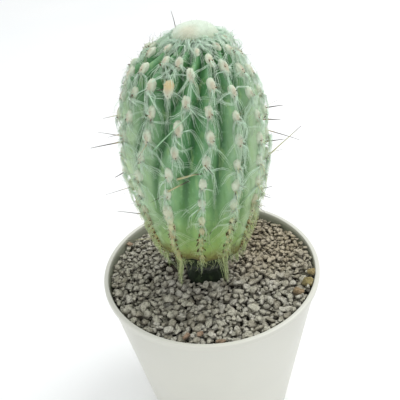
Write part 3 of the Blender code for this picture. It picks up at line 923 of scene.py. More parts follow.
def floor_material(settings):
    """An even, nearly white floor."""
    g = Graph("pale_floor")
    colour = g.layers(settings.floor, ((247, 248, 248), g.noise(6, 2), 0.3, 0.7))
    return g.finish(Base_Color=colour, Roughness=0.85, Specular_IOR_Level=0.1)


# Pot

def inner_wall_radius(height):
    """The radius of the pot's inner wall."""
    bottom, top = BASE_RADIUS - WALL, RIM_RADIUS - RIM_OVERHANG - WALL
    return bottom + (top - bottom) * height / POT_HEIGHT


def arc(x, z, radius, start, end, steps=6):
    """Points round part of a circle, its angles in degrees."""
    turns = np.radians(np.linspace(start, end, steps))
    return [(x + radius * math.cos(turn), z + radius * math.sin(turn)) for turn in turns]


def pot_profile():
    """Radius and height, from the middle of the floor, up the inside and down the outside."""
    floor_top = FOOT_HEIGHT + FLOOR_THICKNESS
    rim_low = POT_HEIGHT - RIM_HEIGHT
    mouth = inner_wall_radius(POT_HEIGHT)
    lip = (RIM_RADIUS - mouth) / 2
    foot = 0.6 * WALL
    return [
        (0, floor_top),
        *arc(inner_wall_radius(floor_top) - WALL, floor_top + WALL, WALL, -90, -5),
        (inner_wall_radius(0.4 * POT_HEIGHT), 0.4 * POT_HEIGHT),
        (inner_wall_radius(rim_low), rim_low),
        *arc(mouth + 0.5 * lip, POT_HEIGHT - 0.5 * lip, 0.5 * lip, 180, 90),
        *arc(RIM_RADIUS - BEAD, POT_HEIGHT - BEAD, BEAD, 90, 0),
        *arc(RIM_RADIUS - BEAD, rim_low + BEAD, BEAD, 0, -90),
        (inner_wall_radius(rim_low) + 1.25 * WALL, rim_low),
        (inner_wall_radius(rim_low) + WALL, rim_low - 0.4 * WALL),
        (inner_wall_radius(0.5 * POT_HEIGHT) + WALL, 0.5 * POT_HEIGHT),
        (inner_wall_radius(WALL) + WALL, WALL),
        *arc(BASE_RADIUS - 0.7 * WALL, foot, foot, 0, -90),
        *arc(BASE_RADIUS - 1.3 * WALL, foot, foot, -90, -180, 4),
        (BASE_RADIUS - 2.2 * WALL, FOOT_HEIGHT),
        (0, FOOT_HEIGHT),
    ]


def build_pot(settings):
    """The pot's wall, turned from its profile, with drainage holes cut in its floor."""
    profile = pot_profile()
    edges = [(k, k + 1) for k in range(len(profile) - 1)]
    mesh = bpy.data.meshes.new("pot_shell")
    mesh.from_pydata([(r, 0, z) for r, z in profile], edges, [])
    pot = add_object("pot_shell", mesh)
    screw = pot.modifiers.new("turned wall", "SCREW")
    screw.steps = screw.render_steps = settings.steps
    screw.use_merge_vertices = True
    screw.merge_threshold = 0.01 * MM
    cutter = drain_cutter()
    holes = pot.modifiers.new("drainage holes", "BOOLEAN")
    holes.object = cutter
    graph = bpy.context.evaluated_depsgraph_get()
    pot.data = bpy.data.meshes.new_from_object(pot.evaluated_get(graph))
    pot.modifiers.clear()
    bpy.data.objects.remove(cutter)
    pot.data.shade_smooth()
    pot.data.set_sharp_from_angle(angle=math.radians(50))
    dress(pot, pot_material(settings), "pot_plastic", "pot")


def drain_cutter():
    """Upright rods that cut the drainage holes."""
    work = bmesh.new()
    for index in range(DRAIN_HOLES):
        turn = 2 * math.pi * (index + 0.5) / DRAIN_HOLES
        place = Matrix.Translation((DRAIN_CIRCLE * math.cos(turn), DRAIN_CIRCLE * math.sin(turn), 0))
        bmesh.ops.create_cone(
            work, cap_ends=True, segments=32, radius1=DRAIN_RADIUS, radius2=DRAIN_RADIUS,
            depth=4 * (FOOT_HEIGHT + FLOOR_THICKNESS), matrix=place)
    return from_bmesh("drain_cutter", work)


# Grit

def grit_height(x, y):
    """The level that the grit lies at, which slopes a little."""
    return GRIT_LEVEL + GRIT_SLOPE[0] * x + GRIT_SLOPE[1] * y


class StonePile:
    """Stones dropped one by one on the lowest places, kept as a map of the pile's rise."""

    CELL = 0.3 * MM
    TRIES = 12

    def __init__(self, settings):
        self.draw = np.random.default_rng(settings.seed)
        self.settings = settings
        self.radius = inner_wall_radius(GRIT_LEVEL) - WALL_GAP
        self.middle = int(self.radius / self.CELL) + 16
        line = np.arange(-self.middle, self.middle + 1) * self.CELL
        self.x, self.y = np.meshgrid(line, line, indexing="ij")
        self.rise = np.full(self.x.shape, -settings.depth)
        self.level = -self.dip(PIT, PIT_RADIUS, PIT_DIP) - self.dip((STEM_X, STEM_Y), NECK_RADIUS, NECK_DIP)
        beside_wall = smooth_step(np.hypot(self.x, self.y), *BANKED_FROM)
        self.level = self.level + BANK_RISE * beside_wall * smooth_step(self.y, 25 * MM, 0)
        self.stones = []

    def dip(self, place, radius, depth):
        """A hollow round a place, as a map of its depth."""
        apart = np.hypot(self.x - place[0], self.y - place[1]) - radius
        return depth * np.exp(-(np.clip(apart, 0, None) / DIP_REACH) ** 2)

    def free_places(self, size):
        """Random places for a stone, inside the pot and clear of the stem's neck and the pit."""
        reach = (self.radius - 0.75 * size) * np.sqrt(self.draw.uniform(0, 1, 3 * self.TRIES))
        turn = self.draw.uniform(0, 2 * math.pi, 3 * self.TRIES)
        x, y = reach * np.cos(turn), reach * np.sin(turn)
        free = np.hypot(x - STEM_X, y - STEM_Y) > NECK_RADIUS + 0.9 * size
        free &= np.hypot(x - PIT[0], y - PIT[1]) > PIT_RADIUS
        return x[free][:self.TRIES], y[free][:self.TRIES]

    def window(self, x, y, size):
        """The part of the map under a stone."""
        i, j = (int(round(v / self.CELL)) + self.middle for v in (x, y))
        reach = int(size / self.CELL) + 1
        return slice(i - reach, i + reach + 1), slice(j - reach, j + reach + 1)

    def drop(self, size, flat):
        x, y = self.free_places(size)
        parts = [self.window(a, b, 0.5 * size) for a, b in zip(x, y)]
        lows = [(self.rise[part] - self.level[part]).mean() for part in parts]
        best = int(np.argmin(lows))
        x, y = x[best], y[best]
        size = size * (1 - FINER_SHARE * float(smooth_step(y, *FINER_BEHIND)))
        part = self.window(x, y, size)
        apart = ((self.x[part] - x) ** 2 + (self.y[part] - y) ** 2) / size**2
        bulge = size * flat * np.sqrt(np.clip(1 - apart, 0, 1))
        under = apart < 1
        middle = (self.rise[part] + bulge)[under].max() - 0.4 * size * flat
        self.rise[part] = np.where(under, np.maximum(self.rise[part], middle + bulge), self.rise[part])
        self.stones.append((x, y, grit_height(x, y) + middle, size, flat))
        return lows[best]

    def fill(self):
        """Drops stones until the lowest places are nearly level with the bed's plane."""
        s = self.settings
        low = -s.depth
        while low < LOWEST_PLACE:
            size = s.smallest + (s.largest - s.smallest) * self.draw.uniform() ** 1.7
            low = self.drop(size, self.draw.uniform(0.55, 0.85))
        return np.array(self.stones)


def crumbs(draw, count, points):
    """Unit balls with lumps on them and flats knocked off, as an array of stone, point and place."""
    shapes = np.repeat(points[None], count, 0)
    for pitch, size in STONE_LUMPS:
        ways = draw.normal(0, pitch, (count, 1, 3))
        waves = np.sin((shapes * ways).sum(-1) + draw.uniform(0, 6, (count, 1)))
        shapes = shapes * (1 + size * waves)[..., None]
    for _ in range(STONE_FLATS):
        way = unit(draw.normal(size=(count, 1, 3)))
        depth = draw.uniform(0.4, 0.8, (count, 1))
        over = np.clip((shapes * way).sum(-1) - depth, 0, None)
        shapes = shapes - way * over[..., None]
    return shapes * (1 + draw.normal(0, 0.075, shapes.shape[:2]))[..., None]


def random_turns(draw, count):
    """Rotations about upright axes, and a slight lean about level ones."""
    spin = draw.uniform(0, 2 * math.pi, count)
    lean = draw.uniform(-STONE_LEAN, STONE_LEAN, count)
    c, s, cl, sl = np.cos(spin), np.sin(spin), np.cos(lean), np.sin(lean)
    zero = np.zeros(count)
    rows = [[c, -s * cl, s * sl], [s, c * cl, -c * sl], [zero, sl, cl]]
    return np.moveaxis(np.array(rows), -1, 0)


def build_grit(settings):
    """Loose stones, large and fine, and the bed under them."""
    pile = StonePile(settings)
    stones = pile.fill()
    draw = pile.draw
    count = len(stones)
    shade = draw.uniform(0, 1, count)
    warm = draw.uniform(0, 0.55, count)
    for (x, y), warmth, size in ODD_STONES:
        near = np.hypot(stones[:, 0] - x * MM, stones[:, 1] - y * MM) - 3 * (stones[:, 2] - GRIT_LEVEL)
        nearest = int(np.argmin(near))
        warm[nearest] = warmth
        stones[nearest, 3] = size * MM
        stones[nearest, 2] += 0.05 * size * MM
    stretch = np.stack([draw.uniform(1.0, 1.35, count), draw.uniform(0.8, 1.0, count), stones[:, 4]], -1)
    turns = random_turns(draw, count)
    fine = stones[:, 3] < FINE_STONE
    material = stone_material(settings)
    for name, rounds, chosen in (("grit_stones", 2, ~fine), ("grit_fines", 1, fine)):
        points, faces = ball(rounds)
        number, each = int(chosen.sum()), len(points)
        shapes = crumbs(draw, number, points) * (stretch * stones[:, 3:4] * 1.25)[chosen][:, None]
        shapes = np.einsum("nij,npj->npi", turns[chosen], shapes)
        lowest, highest = shapes[..., 2].min(1, keepdims=True), shapes[..., 2].max(1, keepdims=True)
        # Height within each stone, from 0 at its bottom to 1 at its top, for the painted shade on its lower
        # part.
        top = (shapes[..., 2] - lowest) / (highest - lowest)
        shapes = inside_wall(shapes + stones[chosen][:, None, :3])
        loose = mesh_object(
            name, shapes.reshape(-1, 3), repeat_faces(faces, each, number),
            shade=np.repeat(shade[chosen], each), warm=np.repeat(warm[chosen], each), top=top)
        loose.data.set_sharp_from_angle(angle=math.radians(30))
        dress(loose, material, "grit_stone", "grit")
    build_bed(settings)


def inside_wall(points):
    """Presses stones against the pot's inner wall where they would cross it."""
    reach = np.hypot(points[..., 0], points[..., 1])
    share = np.minimum(1, (inner_wall_radius(points[..., 2]) - WALL_GAP) / np.maximum(reach, 1 * MM))
    return points * np.stack([share, share, np.ones_like(share)], -1)


def build_bed(settings):
    """The fill under the loose stones, down to the pot's floor, with its top pressed into lumps."""
    floor_top = FOOT_HEIGHT + FLOOR_THICKNESS + 0.3 * MM
    level = GRIT_LEVEL - settings.depth
    radius = inner_wall_radius(level - 2 * MM) - GRIT_FIT
    lower = inner_wall_radius(floor_top + WALL) - GRIT_FIT
    turns = [2 * math.pi * j / BED_SIDES for j in range(BED_SIDES)]
    circle = [(math.cos(turn), math.sin(turn)) for turn in turns]
    draw = random.Random(settings.seed)
    points = []
    for ring in range(1, BED_RINGS + 1):
        reach = radius * ring / BED_RINGS
        for x, y in circle:
            lump = draw.uniform(-0.5, 0.5) * MM if ring < BED_RINGS else 0
            height = grit_height(reach * x, reach * y) - settings.depth + lump
            points.append((reach * x, reach * y, height))
    for reach, height in ((lower, floor_top + WALL), (lower - WALL, floor_top)):
        points += [(reach * x, reach * y, height) for x, y in circle]
    index = np.arange(len(points)).reshape(-1, BED_SIDES)
    after = np.roll(index, -1, 1)
    walls = np.stack([index[:-1], index[1:], after[1:], after[:-1]], -1).reshape(-1, 4).tolist()
    top = [[len(points), a, b] for a, b in zip(index[0], after[0])]
    bed = mesh_object("shaded_grit_bed", [*points, (0, 0, level)], walls + top + [index[-1][::-1].tolist()])
    dress(bed, bed_material(settings), "grit_stone", "grit")


# Stem

def build_stem(settings, form):
    """The ribbed skin as one closed surface, with its neck below."""
    distance = np.linspace(0, form.length, SKIN_ROWS)
    radius, height = form.at(distance)
    middles, halves, widths = form.spans(height)
    level, depth = height[:, None], form.groove_depth(radius, height)[:, None]
    across = np.linspace(-1, 1, SKIN_COLUMNS + 1)[None, :-1]
    near = np.exp(-((across / SWELL_WIDTH) ** 2))
    profile = form.profile(across, level)
    strips = []
    for rib in range(RIBS):
        swell = form.swell(distance, rib) * settings.swell * smooth_step(height, 20 * MM, 50 * MM)
        grown = widths[:, rib, None]
        angle = middles[:, rib, None] + halves[:, rib, None] * across
        hem = hem_height(angle)
        sink = depth * (1 - grown * profile)
        sink = sink + (0.6 * settings.swell - swell[:, None]) * near * grown
        sink = sink + uneven(angle, level)
        sink = sink + HEM_STEP * smooth_step(level, hem, hem - 1.3 * MM)
        # How far towards the left and right sides, for the painted pale light there.
        side = np.cos(angle) ** 2 * smooth_step(level, 118 * MM, 90 * MM)
        strip = form.place(distance[:, None], angle, sink)
        strips.append((strip, grown * profile, (level - hem) / MM, side))
    surface, *maps = (np.concatenate(parts, 1) for parts in zip(*strips))
    surface = np.concatenate([neck(surface[0]), surface])
    below = np.zeros((NECK_ROWS, surface.shape[1]))
    maps = [np.concatenate([below + value, rows]) for value, rows in zip(NECK_VALUES, maps)]
    ridge, hem, side = (np.append(rows.ravel(), value) for value, rows in zip(TOP_VALUES, maps))
    index = np.arange(len(ridge) - 1).reshape(len(surface), -1)
    right = np.roll(index, -1, 1)
    walls = np.stack([index[:-1], right[:-1], right[1:], index[1:]], -1).reshape(-1, 4).tolist()
    lid = [[a, b, index.size] for a, b in zip(index[-1], right[-1])]
    middle = np.array([[axis_x(height[-1]), STEM_Y, STEM_FOOT + height[-1]]])
    stem = mesh_object(
        "cactus_skin", np.concatenate([surface.reshape(-1, 3), middle]),
        walls + lid + [index[0][::-1].tolist()], ridge=ridge, hem=hem, side=side)
    dress(stem, skin_material(settings), "cactus_skin", "cactus_stem")


def uneven(angle, height):
    """Slow waves over the skin, as on a grown thing."""
    waves = np.sin(3 * angle + 60 * height) + np.sin(8 * angle - 140 * height + 1)
    return 0.14 * MM * (waves + np.sin(21 * angle + 230 * height + 2))


def neck(first):
    """The neck's rows, from its end in the grit up to the stem's first row."""
    middle = np.array([STEM_X, STEM_Y])
    way = unit(first[:, :2] - middle)
    rows = []
    levels = np.linspace(NECK_END, STEM_FOOT + STEM_OUTLINE[0][1], NECK_ROWS, endpoint=False)
    for k, level in enumerate(levels):
        reach = NECK_END_RADIUS + (NECK_RADIUS - NECK_END_RADIUS) * min(1, k / 2)
        rows.append(np.concatenate([middle + way * reach, np.full((len(way), 1), level)], 1))
    return np.array(rows)


# Areoles, spines and hairs

def areole_size(height):
    """Full size on the young growth, smaller and worn on the old and at the crown."""
    grown = 0.54 + 0.46 * smooth_step(height, 36 * MM, 68 * MM)
    return grown * (1 - 0.2 * smooth_step(height, 118 * MM, 127 * MM))


def build_areoles(settings, form):
    """A felted cushion on every areole and short fuzz all over it."""
    draw = np.random.default_rng(settings.seed)
    points, faces = ball(3)
    parts = []
    for rib, distance, share in form.areoles_and_tufts():
        axes, place = form.seat(rib, distance)
        size = areole_size(form.at(distance)[1]) * draw.uniform(0.9, 1.1) * share
        tinted = rib == TINTED_RIB and form.is_first(rib, distance)
        if tinted:
            size, place = 1.2 * size, place + 1.1 * MM * axes[:, 2]
        lumps = 1 + 0.09 * np.sin(points @ draw.normal(0, 5, 3) + draw.uniform(0, 6))
        lumps += 0.05 * np.sin(points @ draw.normal(0, 11, 3))
        local = points * lumps[:, None] * np.array([
            0.5 * settings.width * size, 0.5 * settings.length * size, settings.rise * size])
        local[:, 0] *= 1 + 0.18 * points[:, 1]
        cushion = local @ axes.T + place
        heart = np.exp(-(points[:, 0] ** 2 + (points[:, 1] + 0.1) ** 2) / 0.6)
        low = np.clip(-points[:, 1] + 0.2, 0, 1)
        shade = np.full(len(points), draw.uniform())
        tint = smooth_step(points[:, 1], -0.6, 0.5) * tinted
        pick = draw.choice(np.flatnonzero(points[:, 2] > 0.05), int(FUZZ_HAIRS * share))
        outward = (points[pick] * [1, 1, 1.3]) @ axes.T
        ways = unit(outward + draw.normal(0, 0.35, outward.shape) + [0, 0, -0.25])
        parts.append((cushion, heart, low, shade, tint, cushion[pick], ways))
    cushions, heart, low, shade, tint, roots, ways = map(np.concatenate, zip(*parts))
    felt = mesh_object(
        "areole_felt", cushions, repeat_faces(faces, len(points), len(parts)),
        heart=heart, low=low, shade=shade, tint=tint)
    dress(felt, felt_material(settings), "areole_wool", "cactus_stem")
    paths = grow(roots, ways, drawn_lengths("areole_fuzz", roots, draw), draw, **FUZZ)
    strands("areole_fuzz", paths, draw,
            hair_material("areole_fuzz", settings.felt, (220, 216, 196)))


def grow(roots, ways, lengths, draw, form=None, *, steps, droop, curl, gaps=None):
    """Paths that start at roots along ways, bend down and wander, and keep near the stem."""
    place, way = roots.copy(), ways.copy()
    path = [place.copy()]
    wander = draw.normal(0, 1, roots.shape)
    for _ in range(steps):
        wander = 0.6 * wander + draw.normal(0, 0.8, roots.shape)
        way = unit(way + np.array([0, 0, -1.0]) * droop + wander * curl)
        place = place + way * (lengths / steps)[:, None]
        if form:
            place = form.hug(place, *gaps)
        place[:, :2] = np.clip(place[:, :2], -FARTHEST_HAIR, FARTHEST_HAIR)
        path.append(place.copy())
    return np.stack(path, 1)


def strands(name, paths, draw, material, most_shade=1.0, tip=0.25, slot="areole_wool",
            node="cactus_stem"):
    """Tubes of uneven thickness and shade along paths, as one dressed piece."""
    radii = taper_radii(name, len(paths), paths.shape[1], draw, tip)
    dress(tubes(name, paths, radii, draw.uniform(0, most_shade, len(paths))), material, slot, node)


def taper_radii(name, count, steps, draw, tip=0.25):
    """The piece's radii, uneven from hair to hair and finer towards each tip."""
    sizes = RADII[name] * draw.uniform(0.75, 1.25, count)
    return sizes[:, None] * np.linspace(1, tip, steps)[None]


def drawn_lengths(name, roots, draw):
    """A length for each root, between the piece's shortest and longest."""
    return draw.uniform(*LENGTHS[name], len(roots)) * MM


def bundled(name, paths, draw):
    """Several hairs along each path, which part from it between root and tip."""
    count, steps, _ = paths.shape
    number, spread = BUNDLES[name]
    apart = draw.normal(0, spread, (count, number, 1, 3)) * np.sin(np.linspace(0.15, 2.5, steps))[:, None]
    stray = np.cumsum(draw.normal(0, 0.22 * spread, (count, number, steps, 3)), axis=2)
    return (paths[:, None] + apart + stray).reshape(-1, steps, 3)


def hair_starts(form, wool, draw, number, low_end=True):
    """Roots, outward ways and heights of hairs, as many on each areole as number(height, rib) gives."""
    half_width, half_length = 0.4 * wool.width, 0.38 * wool.length
    starts = []
    for rib, distance in form.areoles:
        axes, place = form.seat(rib, distance)
        height = form.at(distance)[1]
        size = areole_size(height)
        count = number(height, rib)
        if not count:
            continue
        side = draw.uniform(-1, 1, count) * half_width * size
        low = draw.uniform(-1, 0.1 if low_end else 0.9, count) * half_length * size
        local = np.stack([side, low, np.full(count, 0.55 * wool.rise * size)], -1)
        lean = np.stack([
            side / half_width * 0.8 + draw.normal(0, 0.25, count),
            low / half_length * 0.9 + draw.normal(0, 0.25, count),
            np.full(count, 0.9)], -1)
        starts.append((local @ axes.T + place, unit(lean @ axes.T), np.full(count, height)))
    return map(np.concatenate, zip(*starts))


def build_beards(settings, form):
    """Tufts of hair that hang below every areole, and long wisps that cross the ribs."""
    draw = np.random.default_rng(settings.seed + 1)
    roots, ways, heights = hair_starts(form, settings, draw, beard_number)
    lengths = drawn_lengths("areole_beards", roots, draw)
    lengths *= 0.5 + 0.6 * smooth_step(heights, 40 * MM, 105 * MM)
    paths = grow(roots, ways, lengths, draw, form, **BEARD)
    strands("areole_beards", bundled("areole_beards", paths, draw), draw,
            hair_material("beard_hair", settings.felt, settings.hair), most_shade=0.7)
    roots, ways, heights = hair_starts(form, settings, draw, wisp_number)
    lengths = drawn_lengths("long_wisps", roots, draw)
    ways = unit(ways + draw.normal(0, 0.55, ways.shape))
    paths = grow(roots, ways, lengths, draw, form, **WISP)
    strands("long_wisps", bundled("long_wisps", paths, draw), draw,
            hair_material("wisp_hair", settings.hair, (214, 238, 212)))


def beard_number(height, rib):
    """One path of beard hair on an old areole, and more on the young ones, most at the sides."""
    return 1 if height < FEW_BEARDS_BELOW else 8 if rib in SHAGGY_RIBS else 5


def wisp_number(height, rib):
    """More long hairs at the sides than on the front, and few low down."""
    if height < FEW_WISPS_BELOW:
        return 1
    return 6 if rib in SHAGGY_RIBS else 4 if height > MORE_WISPS_ABOVE else 3


def build_dry_hairs(settings, form):
    """Dry yellow hairs on the old areoles, and cream ones that droop at the sides."""
    draw = np.random.default_rng(settings.seed + 2)
    roots, ways, _ = hair_starts(form, settings, draw, dry_number)
    lengths = drawn_lengths("dry_hairs", roots, draw)
    paths = grow(roots, ways, lengths, draw, form, **DRY_HAIR)
    paths[..., 2] = np.maximum(paths[..., 2], grit_height(paths[..., 0], paths[..., 1]) + 1 * MM)
    strands("dry_hairs", paths, draw,
            hair_material("dry_hair", (206, 192, 124), (222, 214, 162)))
    roots, ways, _ = hair_starts(form, settings, draw, cream_number)
    lengths = drawn_lengths("cream_hairs", roots, draw)
    paths = grow(roots, ways, lengths, draw, form, **CREAM_HAIR)
    strands("cream_hairs", paths, draw,
            hair_material("cream_hair", (222, 224, 172), (234, 238, 206)))


def dry_number(height, rib):
    """Dry hairs only low on the stem."""
    return 9 if height < DRY_HAIRS_BELOW else 0


def cream_number(height, rib):
    """Cream hairs only at the sides, at mid height."""
    low, high = CREAM_HAIR_HEIGHTS
    return 6 if rib in SHAGGY_RIBS and low < height < high else 0


def build_spines(settings, wool, form):
    """Fine needles that lie out sideways from every areole, and long central ones from some."""
    draw = np.random.default_rng(settings.seed)
    needle = spine_material(settings)
    roots, ways, heights = hair_starts(form, wool, draw, lambda height, rib: FINE_SPINES, low_end=False)
    lengths = drawn_lengths("fine_spines", roots, draw)
    lengths *= 0.6 + 0.4 * smooth_step(heights, 20 * MM, 60 * MM)
    roots = roots - ways * SPINE_ROOT
    ways = unit(ways + draw.normal(0, 0.5, ways.shape))
    paths = grow(roots, ways, lengths, draw, **FINE_SPINE)
    strands("fine_spines", paths, draw, needle, tip=0.2, slot="cactus_skin")

    def central_number(height, rib):
        kept = height < LONG_SPINES_BELOW and draw.uniform() < settings.share
        return int(kept and not (rib in BARE_RIBS and height < BARE_BELOW))

    roots, ways, _ = hair_starts(form, wool, draw, central_number)
    share = draw.uniform(0, 1, len(roots)) ** 1.8
    lengths = settings.shortest + (settings.longest - settings.shortest) * share
    ways = unit(ways + draw.normal(0, 0.3, ways.shape))
    shades = draw.uniform(0, 1, len(roots))
    radii = taper_radii("long_spines", len(roots), LONG_SPINE["steps"] + 1, draw, 0.3)
    paths = grow(roots - ways * SPINE_ROOT, ways, lengths, draw, form, **LONG_SPINE)
    dress(tubes("long_spines", paths, radii, shades, sides=5), needle, "cactus_skin", "cactus_stem")
    pale = hair_material("pale_spine", (150, 190, 150), (172, 206, 172))
    for name, places, shades, material in (
            ("side_spines", SIDE_SPINES, (1.0,), needle),
            ("front_spines", FRONT_SPINES, (0.25, 0.0), needle),
            ("straw_spines", STRAW_SPINES, (-0.2,), needle),
            ("pale_spines", PALE_SPINES, (0.0,), pale)):
        paths, radii = single_spines(name, settings, form, places)
        spines = tubes(name, paths, radii, np.broadcast_to(shades, len(paths)), sides=6)
        dress(spines, material, "cactus_skin", "cactus_stem")


def single_spines(name, settings, form, places):
    """Paths and radii of the spines that stand at given places."""
    draw = np.random.default_rng(settings.seed + 2)
    roots = np.array([
        form.place(form.where_height(height * MM), math.radians(turn), SPINE_ROOT)
        for turn, height, _ in places])
    reaches = np.array([reach for _, _, reach in places]) * MM
    lengths = np.linalg.norm(reaches, axis=1)
    paths = grow(roots, unit(reaches), lengths, draw, form, **SINGLE_SPINE)
    return paths, taper_radii(name, len(roots), paths.shape[1], draw, 0.3)


def build_stubs(settings, form):
    """Short dark stumps of spines: several beside each old areole, and two on each young one."""
    draw = np.random.default_rng(settings.seed + 1)
    stubs = []
    for rib, distance in form.areoles:
        old = form.at(distance)[1] < MANY_STUMPS_BELOW
        axes, place = form.seat(rib, distance)
        number, spread, ends, rise, radius = OLD_STUMPS if old else YOUNG_STUMPS
        for _ in range(number):
            side = draw.choice((-1, 1)) * draw.uniform(0.5, 1)
            local = np.array([spread * side, 2.4 * draw.uniform(*ends), rise]) * MM
            way = axes @ np.array([0.6 * side, draw.normal(-0.2, 0.4), 1.0])
            stubs.append((axes @ local + place, unit(way), radius * MM))
    roots, ways, radii = map(np.array, zip(*stubs))
    lengths = drawn_lengths("spine_stubs", roots, draw)
    paths = grow(roots, ways, lengths, draw, **STUB)
    radii = radii[:, None] * np.array([[1, 0.9, 0.5]])
    stumps = tubes("spine_stubs", paths, radii, draw.uniform(0, 1, len(roots)), sides=5)
    dress(stumps, stub_material(), "cactus_skin", "cactus_stem")


def build_rib_ends(settings, form):
    """Dry ends that hang from the ribs at the hem, each a tapered core wrapped in fibres."""
    draw = np.random.default_rng(settings.seed + 6)
    share = np.linspace(0, 1, RIB_END_STEPS)
    cores, widths, fibres, fibre_widths = [], [], [], []
    middles = form.spans(HEM)[0]
    for rib, angle in enumerate(middles):
        if rib in NEW_RIBS:
            continue
        hem = hem_height(angle)
        length = LONG_RIB_ENDS.get(rib, draw.uniform(*RIB_END_LENGTHS))
        start = form.place(form.where_height(hem + 2.5 * MM), angle, 0.9 * MM)
        edge = form.place(form.where_height(hem), angle, 0.6 * MM)
        drift = np.array([draw.uniform(-1, 1), draw.uniform(-1, 1), 0]) * 0.12 * length
        drift[0] += RIB_END_DRIFTS.get(rib, 0)
        across = np.array([-math.sin(angle), math.cos(angle), 0]) * min(2.6 * MM, 0.35 * length)
        end = edge + drift + [0, 0, -length]
        tucked = start + (edge - start) * share[:, None] / RIB_END_TUCK
        free = edge + (end - edge) * (share[:, None] - RIB_END_TUCK) / (1 - RIB_END_TUCK)
        lead = np.where(share[:, None] < RIB_END_TUCK, tucked, free)
        width = np.interp(share, RIB_END_SHARES, RIB_END_WIDTHS) * MM * min(1, 0.4 + length / (14 * MM))
        cores.append(lead)
        widths.append(width)
        for _ in range(int(12 + 1.5 * length / MM)):
            turn = draw.uniform(0, 2 * math.pi)
            around = np.array([math.cos(turn), math.sin(turn), 0]) * draw.uniform(0.85, 1.8)
            sway = np.cumsum(draw.normal(0, 0.2 * MM, lead.shape), axis=0)
            spread = across * draw.uniform(-1, 1) * (1 - share[:, None])
            fibre = lead + around * width[:, None] + spread + sway * share[:, None]
            fibre[..., 2] += draw.uniform(-0.35, 0.3) * (length + 2 * MM) * share + 1.5 * MM * (1 - share)
            fibres.append(fibre)
            fibre_widths.append(np.linspace(0.15, 0.06, RIB_END_STEPS) * MM)
    for angle in draw.uniform(-math.pi, math.pi, HEM_FIBRES):
        edge = form.place(form.where_height(hem_height(angle) + 1 * MM), angle, 0.2 * MM)
        sway = np.cumsum(draw.normal(0, 0.25 * MM, (RIB_END_STEPS, 3)), axis=0)
        fall = draw.uniform(1, 5) * MM * share[:, None] * [0, 0, -1]
        fibres.append(edge + sway * share[:, None] * 1.5 + fall)
        fibre_widths.append(np.linspace(0.13, 0.05, RIB_END_STEPS) * MM)
    cores, fibres = np.array(cores), np.array(fibres)
    for paths in (cores, fibres):
        lowest = grit_height(paths[..., 0], paths[..., 1]) + 0.8 * MM
        paths[..., 2] = np.maximum(paths[..., 2], lowest)
    core = tubes("rib_ends", cores, np.array(widths), np.zeros(len(cores)), sides=10)
    dress(core, dry_material(), "cactus_skin", "cactus_stem")
    wrapped = tubes("rib_end_fibres", fibres, np.array(fibre_widths), draw.uniform(0, 1, len(fibres)))
    dress(wrapped, hair_material("rib_end_fibre", (202, 212, 164), (226, 236, 206)),
          "areole_wool", "cactus_stem")


# Wool on the crown

def build_crown(settings, form):
    """A soft dome over the growing point, with fine hair standing out of it."""
    draw = np.random.default_rng(settings.seed + 5)
    reach = (WOOL_HIGH.x - WOOL_LOW.x) / 2
    points, faces = ball(5)
    across = np.linalg.norm(points[:, :2], axis=1)
    turn = np.arctan2(points[:, 1], points[:, 0])
    tuft = 1 + 0.03 * across * np.sin(5 * turn + 3 * across) + 0.012 * np.sin(13 * turn + 9 * across)
    shorter = 1 - (1 - WOOL_FRONT_SHARE) * np.clip(-np.sin(turn), 0, None)
    radius = reach * shorter * across * tuft
    seat = form.at(form.where_radius(radius))[1] - 0.3 * MM + STEM_FOOT
    rise = (WOOL_HIGH.z - STEM_FOOT - STEM_HEIGHT + 0.8 * MM) * np.clip(points[:, 2], -0.15, 1)
    x = axis_x(STEM_HEIGHT) + radius * np.cos(turn)
    dome = np.stack([x, STEM_Y + radius * np.sin(turn), seat + rise], -1)
    felt = mesh_object("crown_felt", dome, faces)
    dress(felt, crown_material(settings), "areole_wool", "crown_wool")
    upper = np.flatnonzero(points[:, 2] > -0.02)
    pick = draw.choice(upper, CROWN_HAIRS)
    roots = dome[pick] - [0, 0, 0.2 * MM]
    ways = unit(points[pick] * [1, 1, 0.7] + draw.normal(0, 0.45, (len(pick), 3)))
    lengths = drawn_lengths("crown_hairs", pick, draw)
    paths = grow(roots, ways, lengths, draw, **CROWN_HAIR)
    paths[..., 2] = np.minimum(paths[..., 2], WOOL_HIGH.z + 0.5 * MM)
    strands("crown_hairs", paths, draw,
            hair_material("crown_hair", settings.crown, (232, 238, 226)), most_shade=0.5,
            node="crown_wool")
    edge = np.flatnonzero((points[:, 2] > -0.1) & (points[:, 2] < 0.35))
    pick = draw.choice(edge, FRINGE_HAIRS)
    ways = unit(points[pick] * [1, 1, 0.2] + draw.normal(0, 0.35, (len(pick), 3)))
    lengths = drawn_lengths("crown_fringe", pick, draw)
    paths = grow(dome[pick], ways, lengths, draw, form, **FRINGE)
    strands("crown_fringe", bundled("crown_fringe", paths, draw), draw,
            hair_material("fringe_hair", settings.hair, (214, 232, 210)), most_shade=0.5,
            node="crown_wool")


# Studio

def build_studio(settings):
    scene = bpy.context.scene
    scene.view_settings.view_transform = "Standard"
    build_camera(settings)
    build_floor(settings)
    world = bpy.data.worlds.new("studio_sky")
    world.use_nodes = True
    sky = world.node_tree.nodes["Background"]
    sky.inputs["Color"].default_value = SKY_TINT
    sky.inputs["Strength"].default_value = settings.sky
    scene.world = world
    add_softbox("overhead_softbox", *OVERHEAD_SOFTBOX, settings.key)
    add_softbox("front_softbox", *FRONT_SOFTBOX, settings.fill)


def add_softbox(name, place, size, power):
    lamp = bpy.data.lights.new(name, "AREA")
    lamp.shape = "DISK"
    lamp.size = size
    lamp.energy = power
    softbox = add_object(name, lamp)
    softbox.location = place
    softbox.rotation_euler = (SOFTBOX_AIM - Vector(place)).to_track_quat("-Z", "Y").to_euler()


